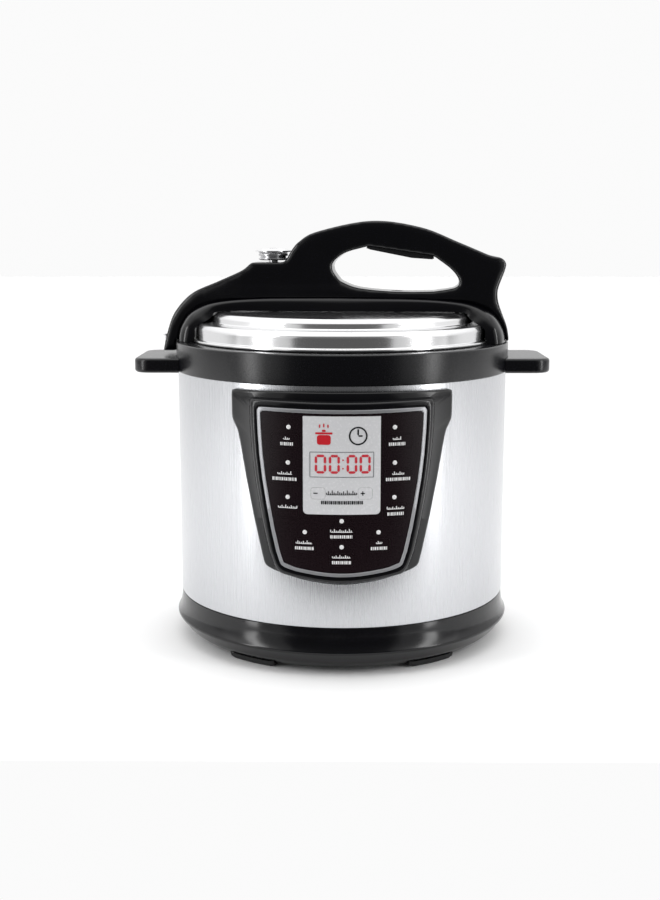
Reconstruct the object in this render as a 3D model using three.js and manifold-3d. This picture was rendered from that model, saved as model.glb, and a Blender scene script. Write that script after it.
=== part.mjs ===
// Electric pressure cooker, 6 litres, as an assembly of its separate pieces.
// Millimetres, +Z up, origin on the table at the middle of the base. The control panel faces -Y.
import * as THREE from "three";
import { mergeVertices } from "three/addons/utils/BufferGeometryUtils.js";
import Module from "manifold-3d";

const wasm = await Module();
wasm.setup();

// ---- driving dimensions ----
const GAP = 0.3; // between neighbouring pieces
const ROUND = 36; // facets around the body
const FINE = 96; // facets around the curved panel

const BODY_R = 143; // brushed steel shell
const SHELL_BOTTOM = 40;
const SHELL_TOP = 233.8;
const SHEET = 0.8;
const BASE_RIM_R = 147;
const RING_R = 144.5;
const RING_TOP = 258.5;
const EAR_REACH = 177.5;
const EAR_HALF_DEPTH = 43.5;
const EAR_THICK = 12.3;
const FOOT_AZIMUTH = 34.5; // each foot, measured from the front or the back
const FOOT_HALF_SPAN = 10;
const PLATE_Z = [3.6, 5.7]; // bottom plate
const INLET = { half: 15, low: 50, high: 76 }; // opening for the mains inlet

const LID_R = 127; // lower tier of the polished cover
const LID_TIER_R = 112.5;
const LID_TOP = 284;
const LID_REST_TURN = -4; // degrees between the line of the ears and the handle, with the lid set down
const ARM_R = 142.3; // outside of the bridge's arms where they meet the ring
const ARM_HALF = 40; // half the width of an arm where it stands on the ring
const HANDLE_HALF = 17;
const FIN_HALF = 13;
const VALVE_X = -60;
const FLOAT_X = 48;
const HANDLE_SCREWS = [-100, 100];
const PIN_X = -155.2; // hanging pin on the left arm
const PIN_Y = -4;

const POT_R = 110.5; // inside the cooking pot, above its step
const POT_FLOOR = 74.2;
const POT_RIM = 232;
const POT_STEP = 173;
const POT_WALL = 2;

const LUGS = 6; // bayonet lugs on the lid and on the outer pot
const LUG_DEGREES = 24;
const LUG_PITCH = 360 / LUGS;
const LID_FLANGE_R = 117.5;
const LID_LUG_R = 122.5;
const LID_FLANGE_Z = 239.3;
const LID_FLANGE_THICK = 3;
const POT_LUG_R = 118.7;
const POT_LUG_Z = 243.6;

const PANEL_FRONT = 156.5; // radius of the panel's face
const PANEL_BACK = BODY_R + GAP;
const PANEL_SEAT = 154.5; // back of the trim, the overlay and the display
const PANEL_CUTOUT = { x: [-46, 46], y: [-160, -120], z: [95, 205] };
const TRIM_WIDTH = 2.7;
const BOARD_Y = -141.6;
const KEY_TOP_ROW = 192.6; // middle of the highest function keys
const KEY_ROW_PITCH = 27.5;
const KEY_COLUMN = [{ x: 44, width: 21 }, { x: 44, width: 21 }, { x: 42, width: 17 }]; // from the top down
const DISPLAY_HALF = 30;
const DISPLAY_LOW = 135.7;
const DISPLAY_HIGH = 212.5;

const CUP = { half: 28, low: 150, high: 198 };
const CUP_BACK = PANEL_FRONT; // the condensate cup reaches as far back as the panel does forward

// ---- materials ----
function finish(color, roughness, metalness = 0) {
  return new THREE.MeshStandardMaterial({ color, roughness, metalness });
}
const blackGloss = finish(0x101014, 0.18);
const blackSatin = finish(0x17171b, 0.4);
const gripPlastic = finish(0x1c1c20, 0.6);
const brushedSteel = finish(0xc9cacc, 0.34, 1);
const polishedSteel = finish(0xdcdddf, 0.12, 1);
const plainSteel = finish(0xb4b6b8, 0.3, 1);
const galvanised = finish(0x9da1a4, 0.45, 1);
const aluminium = finish(0xb9bbbc, 0.4, 1);
const copperCoat = finish(0xa06c42, 0.35, 0.6);
const silicone = finish(0xd9d6cf, 0.55);
const rubber = finish(0x141414, 0.8);
const clearPlastic = finish(0xdfe6ea, 0.1);
const membrane = finish(0x2a1a1e, 0.3);
const silverPrint = finish(0x9c9c9c, 0.4);
const displayWhite = finish(0xeceded, 0.3);
const boardGreen = finish(0x1f5a34, 0.6);
const whiteResin = finish(0xe6e2d6, 0.6);

// ---- shape helpers ----
const v = (across, up) => new THREE.Vector2(across, up);

// A closed geometry with only positions, shared vertices, no slivers on the axis, and faces pointing out.
function weld(geometry) {
  const bare = new THREE.BufferGeometry();
  bare.setAttribute("position", geometry.getAttribute("position"));
  if (geometry.index) bare.setIndex(geometry.index);
  const merged = mergeVertices(bare, 1e-3);
  const index = merged.index.array;
  const kept = [];
  for (let i = 0; i < index.length; i += 3) {
    const [a, b, c] = [index[i], index[i + 1], index[i + 2]];
    if (a !== b && b !== c && a !== c) kept.push(a, b, c);
  }
  merged.setIndex(kept);
  return merged;
}

function solid(geometry) {
  const welded = weld(geometry);
  const triVerts = new Uint32Array(welded.index.array);
  const vertProperties = new Float32Array(welded.attributes.position.array);
  const made = new wasm.Manifold(new wasm.Mesh({ numProp: 3, vertProperties, triVerts }));
  if (made.volume() > 0) return made;
  for (let i = 0; i < triVerts.length; i += 3) {
    [triVerts[i + 1], triVerts[i + 2]] = [triVerts[i + 2], triVerts[i + 1]];
  }
  return new wasm.Manifold(new wasm.Mesh({ numProp: 3, vertProperties, triVerts }));
}

// A profile of [radius, height] points turned about Z. It starts and ends on the axis, or closes on itself.
function turned(profile, facets = ROUND) {
  const points = profile.map(([r, z]) => v(r, z));
  const onAxis = profile[0][0] === 0 && profile.at(-1)[0] === 0;
  if (!onAxis) points.push(points[0].clone());
  return solid(new THREE.LatheGeometry(points, facets).rotateX(Math.PI / 2));
}

function disc(radius, low, high, x = 0, y = 0, facets = 24) {
  const rod = new THREE.CylinderGeometry(radius, radius, high - low, facets);
  return solid(rod.rotateX(Math.PI / 2).translate(x, y, (low + high) / 2));
}

// A round hole along Z, at each of the given X places.
function bored(manifold, radius, low, high, places, facets = 12) {
  return places.reduce((body, x) => body.subtract(disc(radius, low, high, x, 0, facets)), manifold);
}

function block([x0, x1], [y0, y1], [z0, z1]) {
  const box = new THREE.BoxGeometry(x1 - x0, y1 - y0, z1 - z0);
  return solid(box.translate((x0 + x1) / 2, (y0 + y1) / 2, (z0 + z1) / 2));
}

// A plan outline (X, Y) raised from one height to another.
function raised(shape, low, high, curveSegments = 6) {
  const geometry = new THREE.ExtrudeGeometry(shape, {
    depth: high - low,
    bevelEnabled: false,
    curveSegments,
  });
  return solid(geometry.translate(0, 0, low));
}

// A front outline (X, Z) run from one depth to another along Y.
function through(shape, front, back, curveSegments = 6) {
  const geometry = new THREE.ExtrudeGeometry(shape, {
    depth: back - front,
    bevelEnabled: false,
    curveSegments,
  });
  return solid(geometry.rotateX(Math.PI / 2).translate(0, back, 0));
}

function polygon(points) {
  return new THREE.Shape(points.map(([a, b]) => v(a, b)));
}

function roundedRectangle(cx, cy, width, height, radius) {
  const [x0, x1] = [cx - width / 2, cx + width / 2];
  const [y0, y1] = [cy - height / 2, cy + height / 2];
  const shape = new THREE.Shape();
  shape.moveTo(x0 + radius, y0);
  shape.lineTo(x1 - radius, y0);
  shape.absarc(x1 - radius, y0 + radius, radius, -Math.PI / 2, 0);
  shape.lineTo(x1, y1 - radius);
  shape.absarc(x1 - radius, y1 - radius, radius, 0, Math.PI / 2);
  shape.lineTo(x0 + radius, y1);
  shape.absarc(x0 + radius, y1 - radius, radius, Math.PI / 2, Math.PI);
  shape.lineTo(x0, y0 + radius);
  shape.absarc(x0 + radius, y0 + radius, radius, Math.PI, 1.5 * Math.PI);
  return shape;
}

// The ring between two radii, as a cutting or bounding body.
function band(inner, outer, low, high, facets = ROUND) {
  return turned([[inner, low], [outer, low], [outer, high], [inner, high]], facets);
}

// A wedge of the plan around an azimuth in degrees, wide enough to hold the whole body.
function wedge(azimuth, halfSpan, low, high, reach = 260) {
  const at = (degrees) => {
    const turn = THREE.MathUtils.degToRad(degrees);
    return [reach * Math.cos(turn), reach * Math.sin(turn)];
  };
  const corners = [[0, 0], at(azimuth - halfSpan), at(azimuth + halfSpan)];
  return raised(polygon(corners), low, high);
}

function union(...solids) {
  return solids.reduce((sum, next) => sum.add(next));
}

function geometryOf(manifold) {
  const mesh = manifold.getMesh();
  const geometry = new THREE.BufferGeometry();
  geometry.setAttribute("position", new THREE.BufferAttribute(mesh.vertProperties, 3));
  geometry.setIndex(new THREE.BufferAttribute(mesh.triVerts, 1));
  geometry.computeVertexNormals();
  return geometry;
}

function addPart(group, name, manifold, material) {
  const mesh = new THREE.Mesh(geometryOf(manifold), material);
  mesh.name = name;
  group.add(mesh);
  return mesh;
}

// ---- base ----
// Moulded base: it flares to a rim, then draws in to a floor flange.
function baseShell() {
  return turned([
    [142.6, SHELL_BOTTOM - GAP], [BASE_RIM_R, 20], [139, 9], [130, 3], [124, 3], [124, 6], [116, 6], [116, 8],
    [129, 8], [143.3, 20], [139.6, 46], [141.6, 46], [141.6, SHELL_BOTTOM - GAP],
  ]);
}

// Vented bottom plate with its screw holes.
function bottomPlate() {
  let plate = band(0, 123.6, PLATE_Z[0], PLATE_Z[1]);
  for (let row = -2; row <= 2; row += 1) {
    const y = row * 22;
    plate = plate.subtract(block([-34, 34], [y - 3, y + 3], [0, 10]));
  }
  for (const [x, y] of bottomScrewPlaces()) plate = plate.subtract(disc(2.3, 0, 10, x, y, 12));
  return plate;
}

function bottomScrewPlaces() {
  return [0, 180].map((degrees) => {
    const turn = THREE.MathUtils.degToRad(degrees);
    return [112 * Math.cos(turn), 112 * Math.sin(turn)];
  });
}

// Pan head below the plate, shank up into the base.
function bottomScrew() {
  return turned([[0, 1.6], [4, 1.6], [4.2, 2.6], [4.2, 3.3], [2, 3.3], [2, 13], [0, 14]], 12);
}

function foot(azimuth) {
  const ring = turned([[118, 0], [131.5, 0], [133.5, 1.5], [134.3, 5.2], [130, 2.7], [118, 2.7]]);
  return ring.intersect(wedge(azimuth, FOOT_HALF_SPAN, -1, 10));
}

// ---- body ----
function outerShell() {
  return band(BODY_R - SHEET, BODY_R, SHELL_BOTTOM, SHELL_TOP)
    .subtract(block(PANEL_CUTOUT.x, PANEL_CUTOUT.y, PANEL_CUTOUT.z))
    .subtract(block([-INLET.half, INLET.half], [120, 160], [INLET.low, INLET.high]));
}

// Top ring: outer wall, flat top, inner wall onto the outer pot's flange, and a skirt inside the shell.
function topRing() {
  return turned([
    [RING_R, SHELL_TOP + GAP], [RING_R, 257], [143, RING_TOP], [125, RING_TOP], [125, 249.6], [127.2, 249.6],
    [127.2, 256.3], [142.2, 256.3], [142.2, 236.4], [139.6, 236.4], [139.6, 226], [141.6, 226],
    [141.6, SHELL_TOP + GAP],
  ]);
}

// Flat side handle with rounded corners, fitted round the top ring.
function sideHandle(side) {
  const low = SHELL_TOP - 0.4;
  const width = EAR_REACH - 120;
  const middle = side * (EAR_REACH - width / 2);
  const plate = raised(roundedRectangle(middle, 0, width, 2 * EAR_HALF_DEPTH, 14), low, low + EAR_THICK, 3);
  return plate.subtract(band(0, RING_R + GAP, low - 5, low + 30));
}

// ---- inside the body ----
// Pressed steel outer pot: cup, bayonet gallery with inward lugs, and the flange that carries it.
function outerPot() {
  let cup = turned([
    [16, 58], [108, 58], [122.5, 70], [122.5, 229], [125.8, 232], [125.8, 247.3], [138, 247.3], [138, 249.3],
    [124, 249.3], [124, 232.5], [121, 229.5], [121, 71], [107.5, 60], [16, 60],
  ]);
  for (let i = 0; i < LUGS; i += 1) {
    const lug = band(POT_LUG_R, 124.6, POT_LUG_Z, 247.3);
    cup = cup.add(lug.intersect(wedge(30 + LUG_PITCH * i, LUG_DEGREES / 2, 200, 260)));
  }
  return cup;
}

function heatShield() {
  return turned([[131, 84], [131.8, 84], [131.8, 222], [138.8, 222], [138.8, 223], [131, 223]]);
}

function heatingPlate() {
  return turned([[14, 60.4], [84, 60.4], [88, 64], [88, 71.9], [14, 71.9]]);
}

// Sprung sensor: cap in the middle of the heating plate, stem down through the spring plate.
function sensorPlunger() {
  return turned([[0, 71.9], [11.5, 71.9], [12.5, 70.9], [12.5, 63], [4, 63], [4, 36], [0, 36]], 16);
}

function sensorSpring() {
  const turns = 4;
  const [low, high, radius] = [48.8, 62.2, 8];
  class Coil extends THREE.Curve {
    getPoint(t, target = new THREE.Vector3()) {
      const turn = 2 * Math.PI * turns * t;
      return target.set(radius * Math.cos(turn), radius * Math.sin(turn), low + (high - low) * t);
    }
  }
  const wire = polygon([[-0.6, -0.6], [0.6, -0.6], [0.6, 0.6], [-0.6, 0.6]]);
  return solid(new THREE.ExtrudeGeometry(wire, {
    steps: 10 * turns,
    extrudePath: new Coil(),
    bevelEnabled: false,
  }));
}

// Corrugated spring steel plate under the outer pot; it flexes as the pot is pressed down.
function springPlate() {
  return turned([
    [5, 46], [24, 46], [32, 50], [42, 46], [78, 46],
    [78, 47.2], [41.6, 47.2], [32, 51.2], [24.4, 47.2], [5, 47.2],
  ], 24);
}

function pressureSwitch() {
  const body = block([-66, -36], [-8, 8], [22, 40]);
  const lever = block([-62, -34], [-3, 3], [39, 43]);
  return union(body, lever);
}

function powerBoard() {
  const [floor, board] = [PLATE_Z[1] + GAP, 18];
  let assembly = block([-46, 46], [34, 98], [board, board + 1.6]);
  for (const x of [-41, 41]) {
    for (const y of [39, 93]) assembly = assembly.add(disc(3, floor, board + 0.5, x, y, 10));
  }
  const relay = block([-36, -16], [46, 62], [board + 1, 36]);
  const transformer = block([8, 38], [50, 76], [board + 1, 40]);
  const capacitor = disc(7, board + 1, 38, -24, 80, 14);
  return union(assembly, relay, transformer, capacitor);
}

// Recessed appliance inlet with three blades.
function mainsInlet() {
  const flange = block([-19, 19], [BODY_R + 0.8, 147], [46, 80]);
  const tub = block([-14.6, 14.6], [125, 146], [INLET.low + 0.4, INLET.high - 0.4]);
  const recess = block([-11.5, 11.5], [127, 150], [53.5, 73]);
  let inlet = union(flange, tub).subtract(recess);
  for (const x of [-6.5, 0, 6.5]) {
    const z = x === 0 ? 62 : 57.5;
    inlet = inlet.add(block([x - 1, x + 1], [126, 141], [z - 2, z + 2]));
  }
  return inlet;
}

// ---- control panel ----
// The panel's outlines, mirrored about its middle, in X and Z.
function frameOutline() {
  const shape = new THREE.Shape();
  shape.moveTo(0, 77.2);
  shape.splineThru([v(15.4, 78.4), v(34, 81.4), v(53, 86.6)]);
  shape.lineTo(61.2, 91.2);
  shape.lineTo(82.6, 197);
  shape.lineTo(87.2, 205);
  shape.lineTo(87.2, 229.8);
  shape.lineTo(-87.2, 229.8);
  shape.lineTo(-87.2, 205);
  shape.lineTo(-82.6, 197);
  shape.lineTo(-61.2, 91.2);
  shape.lineTo(-53, 86.6);
  shape.splineThru([v(-34, 81.4), v(-15.4, 78.4), v(0, 77.2)]);
  return shape;
}

// The window of the panel, drawn in by a given amount.
function windowOutline(inset) {
  const half = [[15, 86.3 + inset], [34, 89.1 + inset], [44.5 - inset / 2, 92.4 + inset]];
  const side = [[48.8, 97], [52.6, 110], [57.4, 133], [62, 161.5], [65, 190], [66, 217.5 - inset]];
  const right = [...half, ...side.map(([x, z]) => [x - inset, z])];
  const shape = new THREE.Shape();
  shape.moveTo(0, 85.6 + inset);
  for (const [x, z] of right) shape.lineTo(x, z);
  for (const [x, z] of right.reverse()) shape.lineTo(-x, z);
  shape.closePath();
  return shape;
}

function panelLayer(outline, inner, outer) {
  return through(outline, -170, -100, 5).intersect(band(inner, outer, 50, 250, FINE));
}

// Frame: thin wings against the shell and a raised surround, open at the back for the boards.
function panelFrame() {
  const wings = panelLayer(frameOutline(), PANEL_BACK, 149);
  const surround = panelLayer(windowOutline(-7), PANEL_BACK, 155.6);
  return union(wings, surround)
    .subtract(panelLayer(windowOutline(-GAP), 154.2, 170))
    .subtract(panelLayer(windowOutline(4), 130, 170));
}

function panelTrim() {
  return panelLayer(windowOutline(0), PANEL_SEAT, PANEL_FRONT).subtract(
    panelLayer(windowOutline(TRIM_WIDTH), 130, 170),
  );
}

// Function keys: two columns of three, then four below the display, each under its own lamp.
function functionKeys() {
  const keys = [];
  for (const [side, sign] of [["left", -1], ["right", 1]]) {
    KEY_COLUMN.forEach(({ x, width }, row) => {
      const z = KEY_TOP_ROW - KEY_ROW_PITCH * row;
      keys.push({ name: `key_${side}_${row + 1}`, x: sign * x, z, width, height: 11 });
    });
  }
  keys.push({ name: "key_low_left", x: -29.2, z: 110.6, width: 17, height: 10.5 });
  keys.push({ name: "key_low_right", x: 29.2, z: 110.6, width: 17, height: 10.5 });
  keys.push({ name: "key_middle_upper", x: 0, z: 120.4, width: 19, height: 10.5 });
  keys.push({ name: "key_middle_lower", x: 0, z: 99.8, width: 19, height: 10.5 });
  return keys;
}

function timeKeys() {
  return [["key_minus", -18.3], ["key_plus", 18.3]].map(([name, x]) => {
    return { name, x, z: 152.4, width: 11, height: 9 };
  });
}

function keyOutline(key, grow = 0) {
  return roundedRectangle(key.x, key.z, key.width + 2 * grow, key.height + 2 * grow, 2.2 + grow);
}

function keyHole(key) {
  return through(keyOutline(key, GAP + 0.1), -170, -100, 1);
}

function keyPad(key) {
  return through(keyOutline(key), -170, -100, 1).intersect(band(154.6, PANEL_FRONT - 0.1, 50, 250, FINE));
}

function displayOutline(grow = 0) {
  const [x, low, high, corner] = [DISPLAY_HALF + grow, DISPLAY_LOW - grow, DISPLAY_HIGH + grow, 4];
  const shape = new THREE.Shape();
  shape.moveTo(-x + corner, low);
  shape.lineTo(x - corner, low);
  shape.absarc(x - corner, low + corner, corner, -Math.PI / 2, 0);
  shape.lineTo(x, high);
  shape.lineTo(-x, high);
  shape.lineTo(-x, low + corner);
  shape.absarc(-x + corner, low + corner, corner, Math.PI, 1.5 * Math.PI);
  return shape;
}

function panelOverlay() {
  let sheet = panelLayer(windowOutline(TRIM_WIDTH + GAP), PANEL_SEAT, 156);
  sheet = sheet.subtract(through(displayOutline(GAP), -170, -100, 3));
  for (const key of functionKeys()) sheet = sheet.subtract(keyHole(key));
  return sheet;
}

function displayWindow() {
  let pane = panelLayer(displayOutline(), PANEL_SEAT, 156.1);
  for (const key of timeKeys()) pane = pane.subtract(keyHole(key));
  return pane;
}

function controlBoard() {
  const board = block([-42, 42], [BOARD_Y, BOARD_Y + 1.6], [99, 201]);
  const header = block([-12, 12], [BOARD_Y + 1, -134], [106, 114]);
  return union(board, header);
}

function displayModule() {
  return block([-27, 27], [-150.2, BOARD_Y - GAP], [163.5, 186.5]);
}

// ---- rear condensate cup ----
function condensateCup() {
  const outline = roundedRectangle(0, (CUP.low + CUP.high) / 2, 2 * CUP.half, CUP.high - CUP.low, 5);
  const shape = through(outline, 135, CUP_BACK, 3).subtract(band(0, BODY_R + 0.6, 100, 240));
  const inside = block([-CUP.half + 1.8, CUP.half - 1.8], [130, CUP_BACK - 1.8], [CUP.low + 1.8, 210]);
  return shape.subtract(inside.subtract(band(0, BODY_R + 2.4, 100, 240)));
}

// Bracket: a frame round the cup with the drain spout above it.
function cupBracket() {
  const frame = block([-32, 32], [135, 150], [146.4, 204]);
  const opening = block([-CUP.half - 0.4, CUP.half + 0.4], [130, 160], [CUP.low - 0.4, CUP.high + 0.4]);
  return frame.subtract(opening).subtract(band(0, BODY_R + GAP, 100, 240));
}

// ---- lid ----
// The polished cover: rolled lip, lower tier, groove, upper tier and flat top.
function lidOuterProfile() {
  return [
    [130.5, 258.9], [130.5, 261.2], [127.2, 261.3], [LID_R, 270], [124.4, 274], [113, 275.2],
    [LID_TIER_R, 280.2], [108.5, 283.5], [0, LID_TOP],
  ];
}

function lidCover() {
  const wall = 1.2;
  const inner = [
    [0, LID_TOP - wall], [108, 282.3], [111.2, 279.8], [111.4, 274.4], [123.8, 272.8], [125.8, 269.6],
    [126, 260.1], [129, 258.9],
  ];
  let cover = turned([...inner, ...lidOuterProfile()]);
  cover = bored(cover, 5, 270, 300, [VALVE_X], 16);
  cover = bored(cover, 4, 270, 300, [FLOAT_X], 16);
  return bored(cover, 2.5, 270, 300, HANDLE_SCREWS);
}

// Inner lid that holds the pressure: dome, flange and outward bayonet lugs.
function pressureLid() {
  const top = LID_FLANGE_Z + LID_FLANGE_THICK;
  let lid = turned([
    [0, 259.8], [60, 258.2], [97, 254.8], [101.8, 251], [103.3, 244], [104, LID_FLANGE_Z],
    [LID_FLANGE_R, LID_FLANGE_Z], [LID_FLANGE_R, top], [108, top], [105.5, 245], [104, 252], [98, 257],
    [60, 260.5], [0, 262],
  ]);
  for (let i = 0; i < LUGS; i += 1) {
    const lug = band(LID_FLANGE_R - 1, LID_LUG_R, LID_FLANGE_Z, top);
    lid = lid.add(lug.intersect(wedge(LUG_PITCH * i - LID_REST_TURN, LUG_DEGREES / 2, 200, 260)));
  }
  lid = bored(lid, 5.4, 240, 270, [VALVE_X], 16);
  return bored(lid, 3.6, 240, 270, [FLOAT_X], 16);
}

// Side view of the bridge's outside, from the ring to the crown.
function bridgeProfile(shrink) {
  const outside = [[ARM_R, 258.9], [140.8, 269], [135, 280.5], [120, 290.5], [92, 295], [0, 297]];
  return outside.map(([r, z], i) => [Math.max(r - shrink, 0), i === 0 ? z : z - shrink]);
}

// Plan of the bridge: narrow over the middle of the lid, flaring to the two arms.
function bridgePlan(shrink) {
  const half = [[0, 21], [50, 22], [80, 24.5], [106, 30], [122, 36.5], [131, ARM_HALF]];
  const right = half.map(([x, y]) => v(x, y - shrink));
  const back = [...right, v(160, ARM_HALF - shrink)];
  const mirrored = (sx, sy) => back.map((p) => v(sx * p.x, sy * p.y));
  const outline = [
    ...mirrored(1, 1), ...mirrored(1, -1).reverse(),
    ...mirrored(-1, -1).slice(1), ...mirrored(-1, 1).reverse(),
  ];
  return new THREE.Shape(outline.slice(0, -1));
}

function bridgeBody(shrink) {
  const dome = turned([[0, 258.9], ...bridgeProfile(shrink)]);
  return dome.intersect(raised(bridgePlan(shrink), 250, 310));
}

function lidEnvelope() {
  const outline = lidOuterProfile().map(([r, z]) => [r > 0 ? r + 0.4 : 0, z + 0.4]);
  return turned([[0, 250], [outline[0][0], 250], ...outline]);
}

function bridgeCover() {
  const bosses = union(
    disc(10, 280, 297, VALVE_X, 0, 20),
    disc(8, 280, 297, FLOAT_X, 0, 20),
    ...HANDLE_SCREWS.map((x) => disc(6, 280, 297, x, 0, 16)),
  ).intersect(bridgeBody(0));
  const shell = bridgeBody(0).subtract(bridgeBody(2.6)).add(bosses);
  let cover = shell.subtract(lidEnvelope());
  cover = bored(cover, 5.6, 270, 300, [VALVE_X], 16);
  cover = bored(cover, 5, 270, 300, [FLOAT_X], 16);
  return bored(cover, 2.5, 270, 300, HANDLE_SCREWS);
}

// Side view of the handle: spine and fin of the left arm, valve boss, loop, horn and spine of the right arm.
function handleOutline() {
  const shape = new THREE.Shape();
  shape.moveTo(-156.5, 249);
  shape.splineThru([
    v(-152, 267), v(-145.3, 283), v(-130, 299), v(-107, 309.3), v(-84, 319.4), v(-77, 325.6),
  ]);
  shape.lineTo(-47.6, 325.6);
  shape.splineThru([
    v(-43.2, 335), v(-36, 345), v(-20, 352.5), v(26, 361.2), v(68, 355.6), v(100, 343), v(128, 331.5),
  ]);
  shape.splineThru([v(136.8, 329.6), v(141, 325), v(139.6, 318)]);
  shape.splineThru([v(134, 299), v(137, 288.6), v(142.4, 274), v(144.7, 258.9)]);
  shape.lineTo(ARM_R + 0.5, 258.9);
  const under = bridgeProfile(-0.4).slice(1, -1);
  for (const [x, z] of under) shape.lineTo(x, z);
  shape.lineTo(0, 297.4);
  for (const [x, z] of under.reverse()) shape.lineTo(-x, z);
  shape.lineTo(-ARM_R - 0.5, 258.9);
  shape.lineTo(-RING_R - 0.8, 258.2);
  shape.lineTo(-RING_R - 0.8, 249);
  return shape;
}

// The opening for the hand, with the rebate for the grip insert along its top.
function handHole() {
  const hole = new THREE.Shape();
  hole.moveTo(-7.5, 319);
  hole.splineThru([v(-6.5, 326), v(3.4, 333.8), v(20, 337.6)]);
  hole.lineTo(24, 342);
  hole.lineTo(79, 334.5);
  hole.lineTo(80.5, 328.4);
  hole.splineThru([v(95, 319), v(102.3, 309.5), v(98, 304.5), v(80, 301.2)]);
  hole.lineTo(40, 301.6);
  hole.splineThru([v(10, 305), v(-1, 310), v(-7.5, 319)]);
  return hole;
}

function handleShell() {
  const outline = through(handleOutline(), -HANDLE_HALF, HANDLE_HALF, 3);
  let shell = outline.subtract(through(handHole(), -50, 50, 2));
  for (const side of [[-40, -FIN_HALF], [FIN_HALF, 40]]) {
    shell = shell.subtract(block([-170, -RING_R + 1], side, [240, 275]));
  }
  shell = shell.subtract(band(0, RING_R + 0.8, 240, 258.7));
  shell = bored(shell, 6, 280, 330, [VALVE_X], 16);
  shell = bored(shell, 5.2, 280, 310, [FLOAT_X], 16);
  shell = bored(shell, 2.3, 280, 303, HANDLE_SCREWS);
  const pinSlot = block([-162, -152.4], [-7, -1], [252, 268]);
  return shell.subtract(pinSlot).subtract(disc(1.5, 245, 256, PIN_X, PIN_Y, 10));
}

function handleGrip() {
  const outline = polygon([
    [24.4, 341.5], [21, 337.6], [25, 336.8], [60.6, 329.4], [78.5, 328.3], [80, 329.2], [78.7, 334.1],
  ]);
  return through(outline, -HANDLE_HALF + 1.5, HANDLE_HALF - 1.5);
}

// Flat-headed steel pin that hangs the lid from a side handle.
function lidHangerPin() {
  return turned([[0, 249.4], [1.2, 249.4], [1.2, 261.4], [2.4, 261.6], [2.4, 263], [0, 263.4]], 10);
}

function handleScrew() {
  return turned([[0, 278.8], [3.6, 279], [4.2, 280.2], [4.2, 281.9], [2, 281.9], [2, 301], [0, 302.5]], 12);
}

function ventPipe() {
  return turned([
    [1.2, 254.6], [8, 254.6], [8, 257.1], [5, 257.1], [5, 267.5], [4, 268.5], [4, 330], [3, 331], [1.2, 331],
  ], 16);
}

function ventNut() {
  const hexagon = new THREE.CylinderGeometry(9.2, 9.2, 5.4, 6).rotateX(Math.PI / 2).translate(0, 0, 264.9);
  return solid(hexagon).subtract(disc(5.4, 250, 280, 0, 0, 16));
}

// Slotted cap over the vent's inlet, so that food can't block it.
function antiBlockCap() {
  let cap = turned([
    [0, 245], [11, 245], [12.5, 246.5], [12.5, 254.3], [11.3, 254.3], [11.3, 247], [10.6, 246.2], [0, 246.2],
  ], 16);
  for (const turn of [0, 60, 120]) {
    const slot = new THREE.BoxGeometry(30, 3, 4).rotateZ(THREE.MathUtils.degToRad(turn));
    cap = cap.subtract(solid(slot.translate(0, 0, 250.2)));
  }
  return cap;
}

// Limiter weight on the vent pipe, with rings turned in its side and a stud for the cap.
function limiterWeight() {
  return turned([
    [0, 331.6], [4.6, 331.6], [4.6, 327.3], [11.5, 327.3], [12.8, 328.6], [11.4, 330], [12.8, 331.4],
    [12.4, 333.4], [3, 333.4], [3, 335.2], [0, 335.2],
  ], 16);
}

function limiterCap() {
  return turned([
    [0, 335.6], [3.4, 335.6], [3.4, 333.7], [12.6, 333.7],
    [15.6, 334.7], [15.6, 335.8], [12, 337.2], [0, 337.8],
  ], 24);
}

function floatValve() {
  return turned([
    [0, 250], [6, 250], [6, 252.2], [2.8, 252.2], [2.8, 296], [4.4, 296], [4.4, 299.6], [0, 300],
  ], 16);
}

function floatGasket() {
  return turned([[3.1, 252.5], [6, 252.5], [6.4, 253.5], [5.4, 254.4], [3.1, 254.4]], 16);
}

// ---- sealing ring and its support ----
function sealingRing() {
  return turned([[107, 232.4], [116.4, 232.4], [117, 234], [117, 238.9], [107, 238.9]]);
}

function sealSupportRing() {
  return turned([[104.4, 234], [106.2, 234], [106.2, 238.6], [104.4, 238.6]]);
}

// ---- cooking pot and steam rack ----
function innerPot() {
  const low = POT_FLOOR - POT_WALL;
  const narrow = POT_R - 3;
  return turned([
    [0, low], [88, low], [104, 78], [narrow + POT_WALL, 92], [narrow + POT_WALL, POT_STEP - 3],
    [POT_R + POT_WALL, POT_STEP], [POT_R + POT_WALL, 229.4], [118.2, 229.8], [117.6, POT_RIM],
    [POT_R, POT_RIM - 0.4], [POT_R, POT_STEP], [narrow, POT_STEP - 0.1], [narrow, 93],
    [102.6, 79.8], [88, POT_FLOOR], [0, POT_FLOOR],
  ]);
}

// Pressed rack: rolled rim, flat sectors and a dished middle with a ring of holes.
function steamRack() {
  const z = POT_STEP + GAP;
  let rack = turned([
    [0, z + 2.2], [24, z + 2.2], [28, z + 5.2], [98, z + 5.2], [104.5, z], [109.8, z], [109.8, z + 2],
    [105.4, z + 1.4], [98.6, z + 6.2], [27.4, z + 6.2], [23.4, z + 3.2], [0, z + 3.2],
  ]);
  rack = rack.subtract(disc(8, z, z + 9, 0, 0, 16));
  for (let i = 0; i < 6; i += 1) {
    const turn = THREE.MathUtils.degToRad(60 * i);
    rack = rack.subtract(disc(3, z, z + 9, 16 * Math.cos(turn), 16 * Math.sin(turn), 8));
    const slot = new THREE.BoxGeometry(42, 16, 12).translate(64, 0, z + 5).rotateZ(turn + Math.PI / 6);
    rack = rack.subtract(solid(slot));
  }
  return rack;
}

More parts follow.
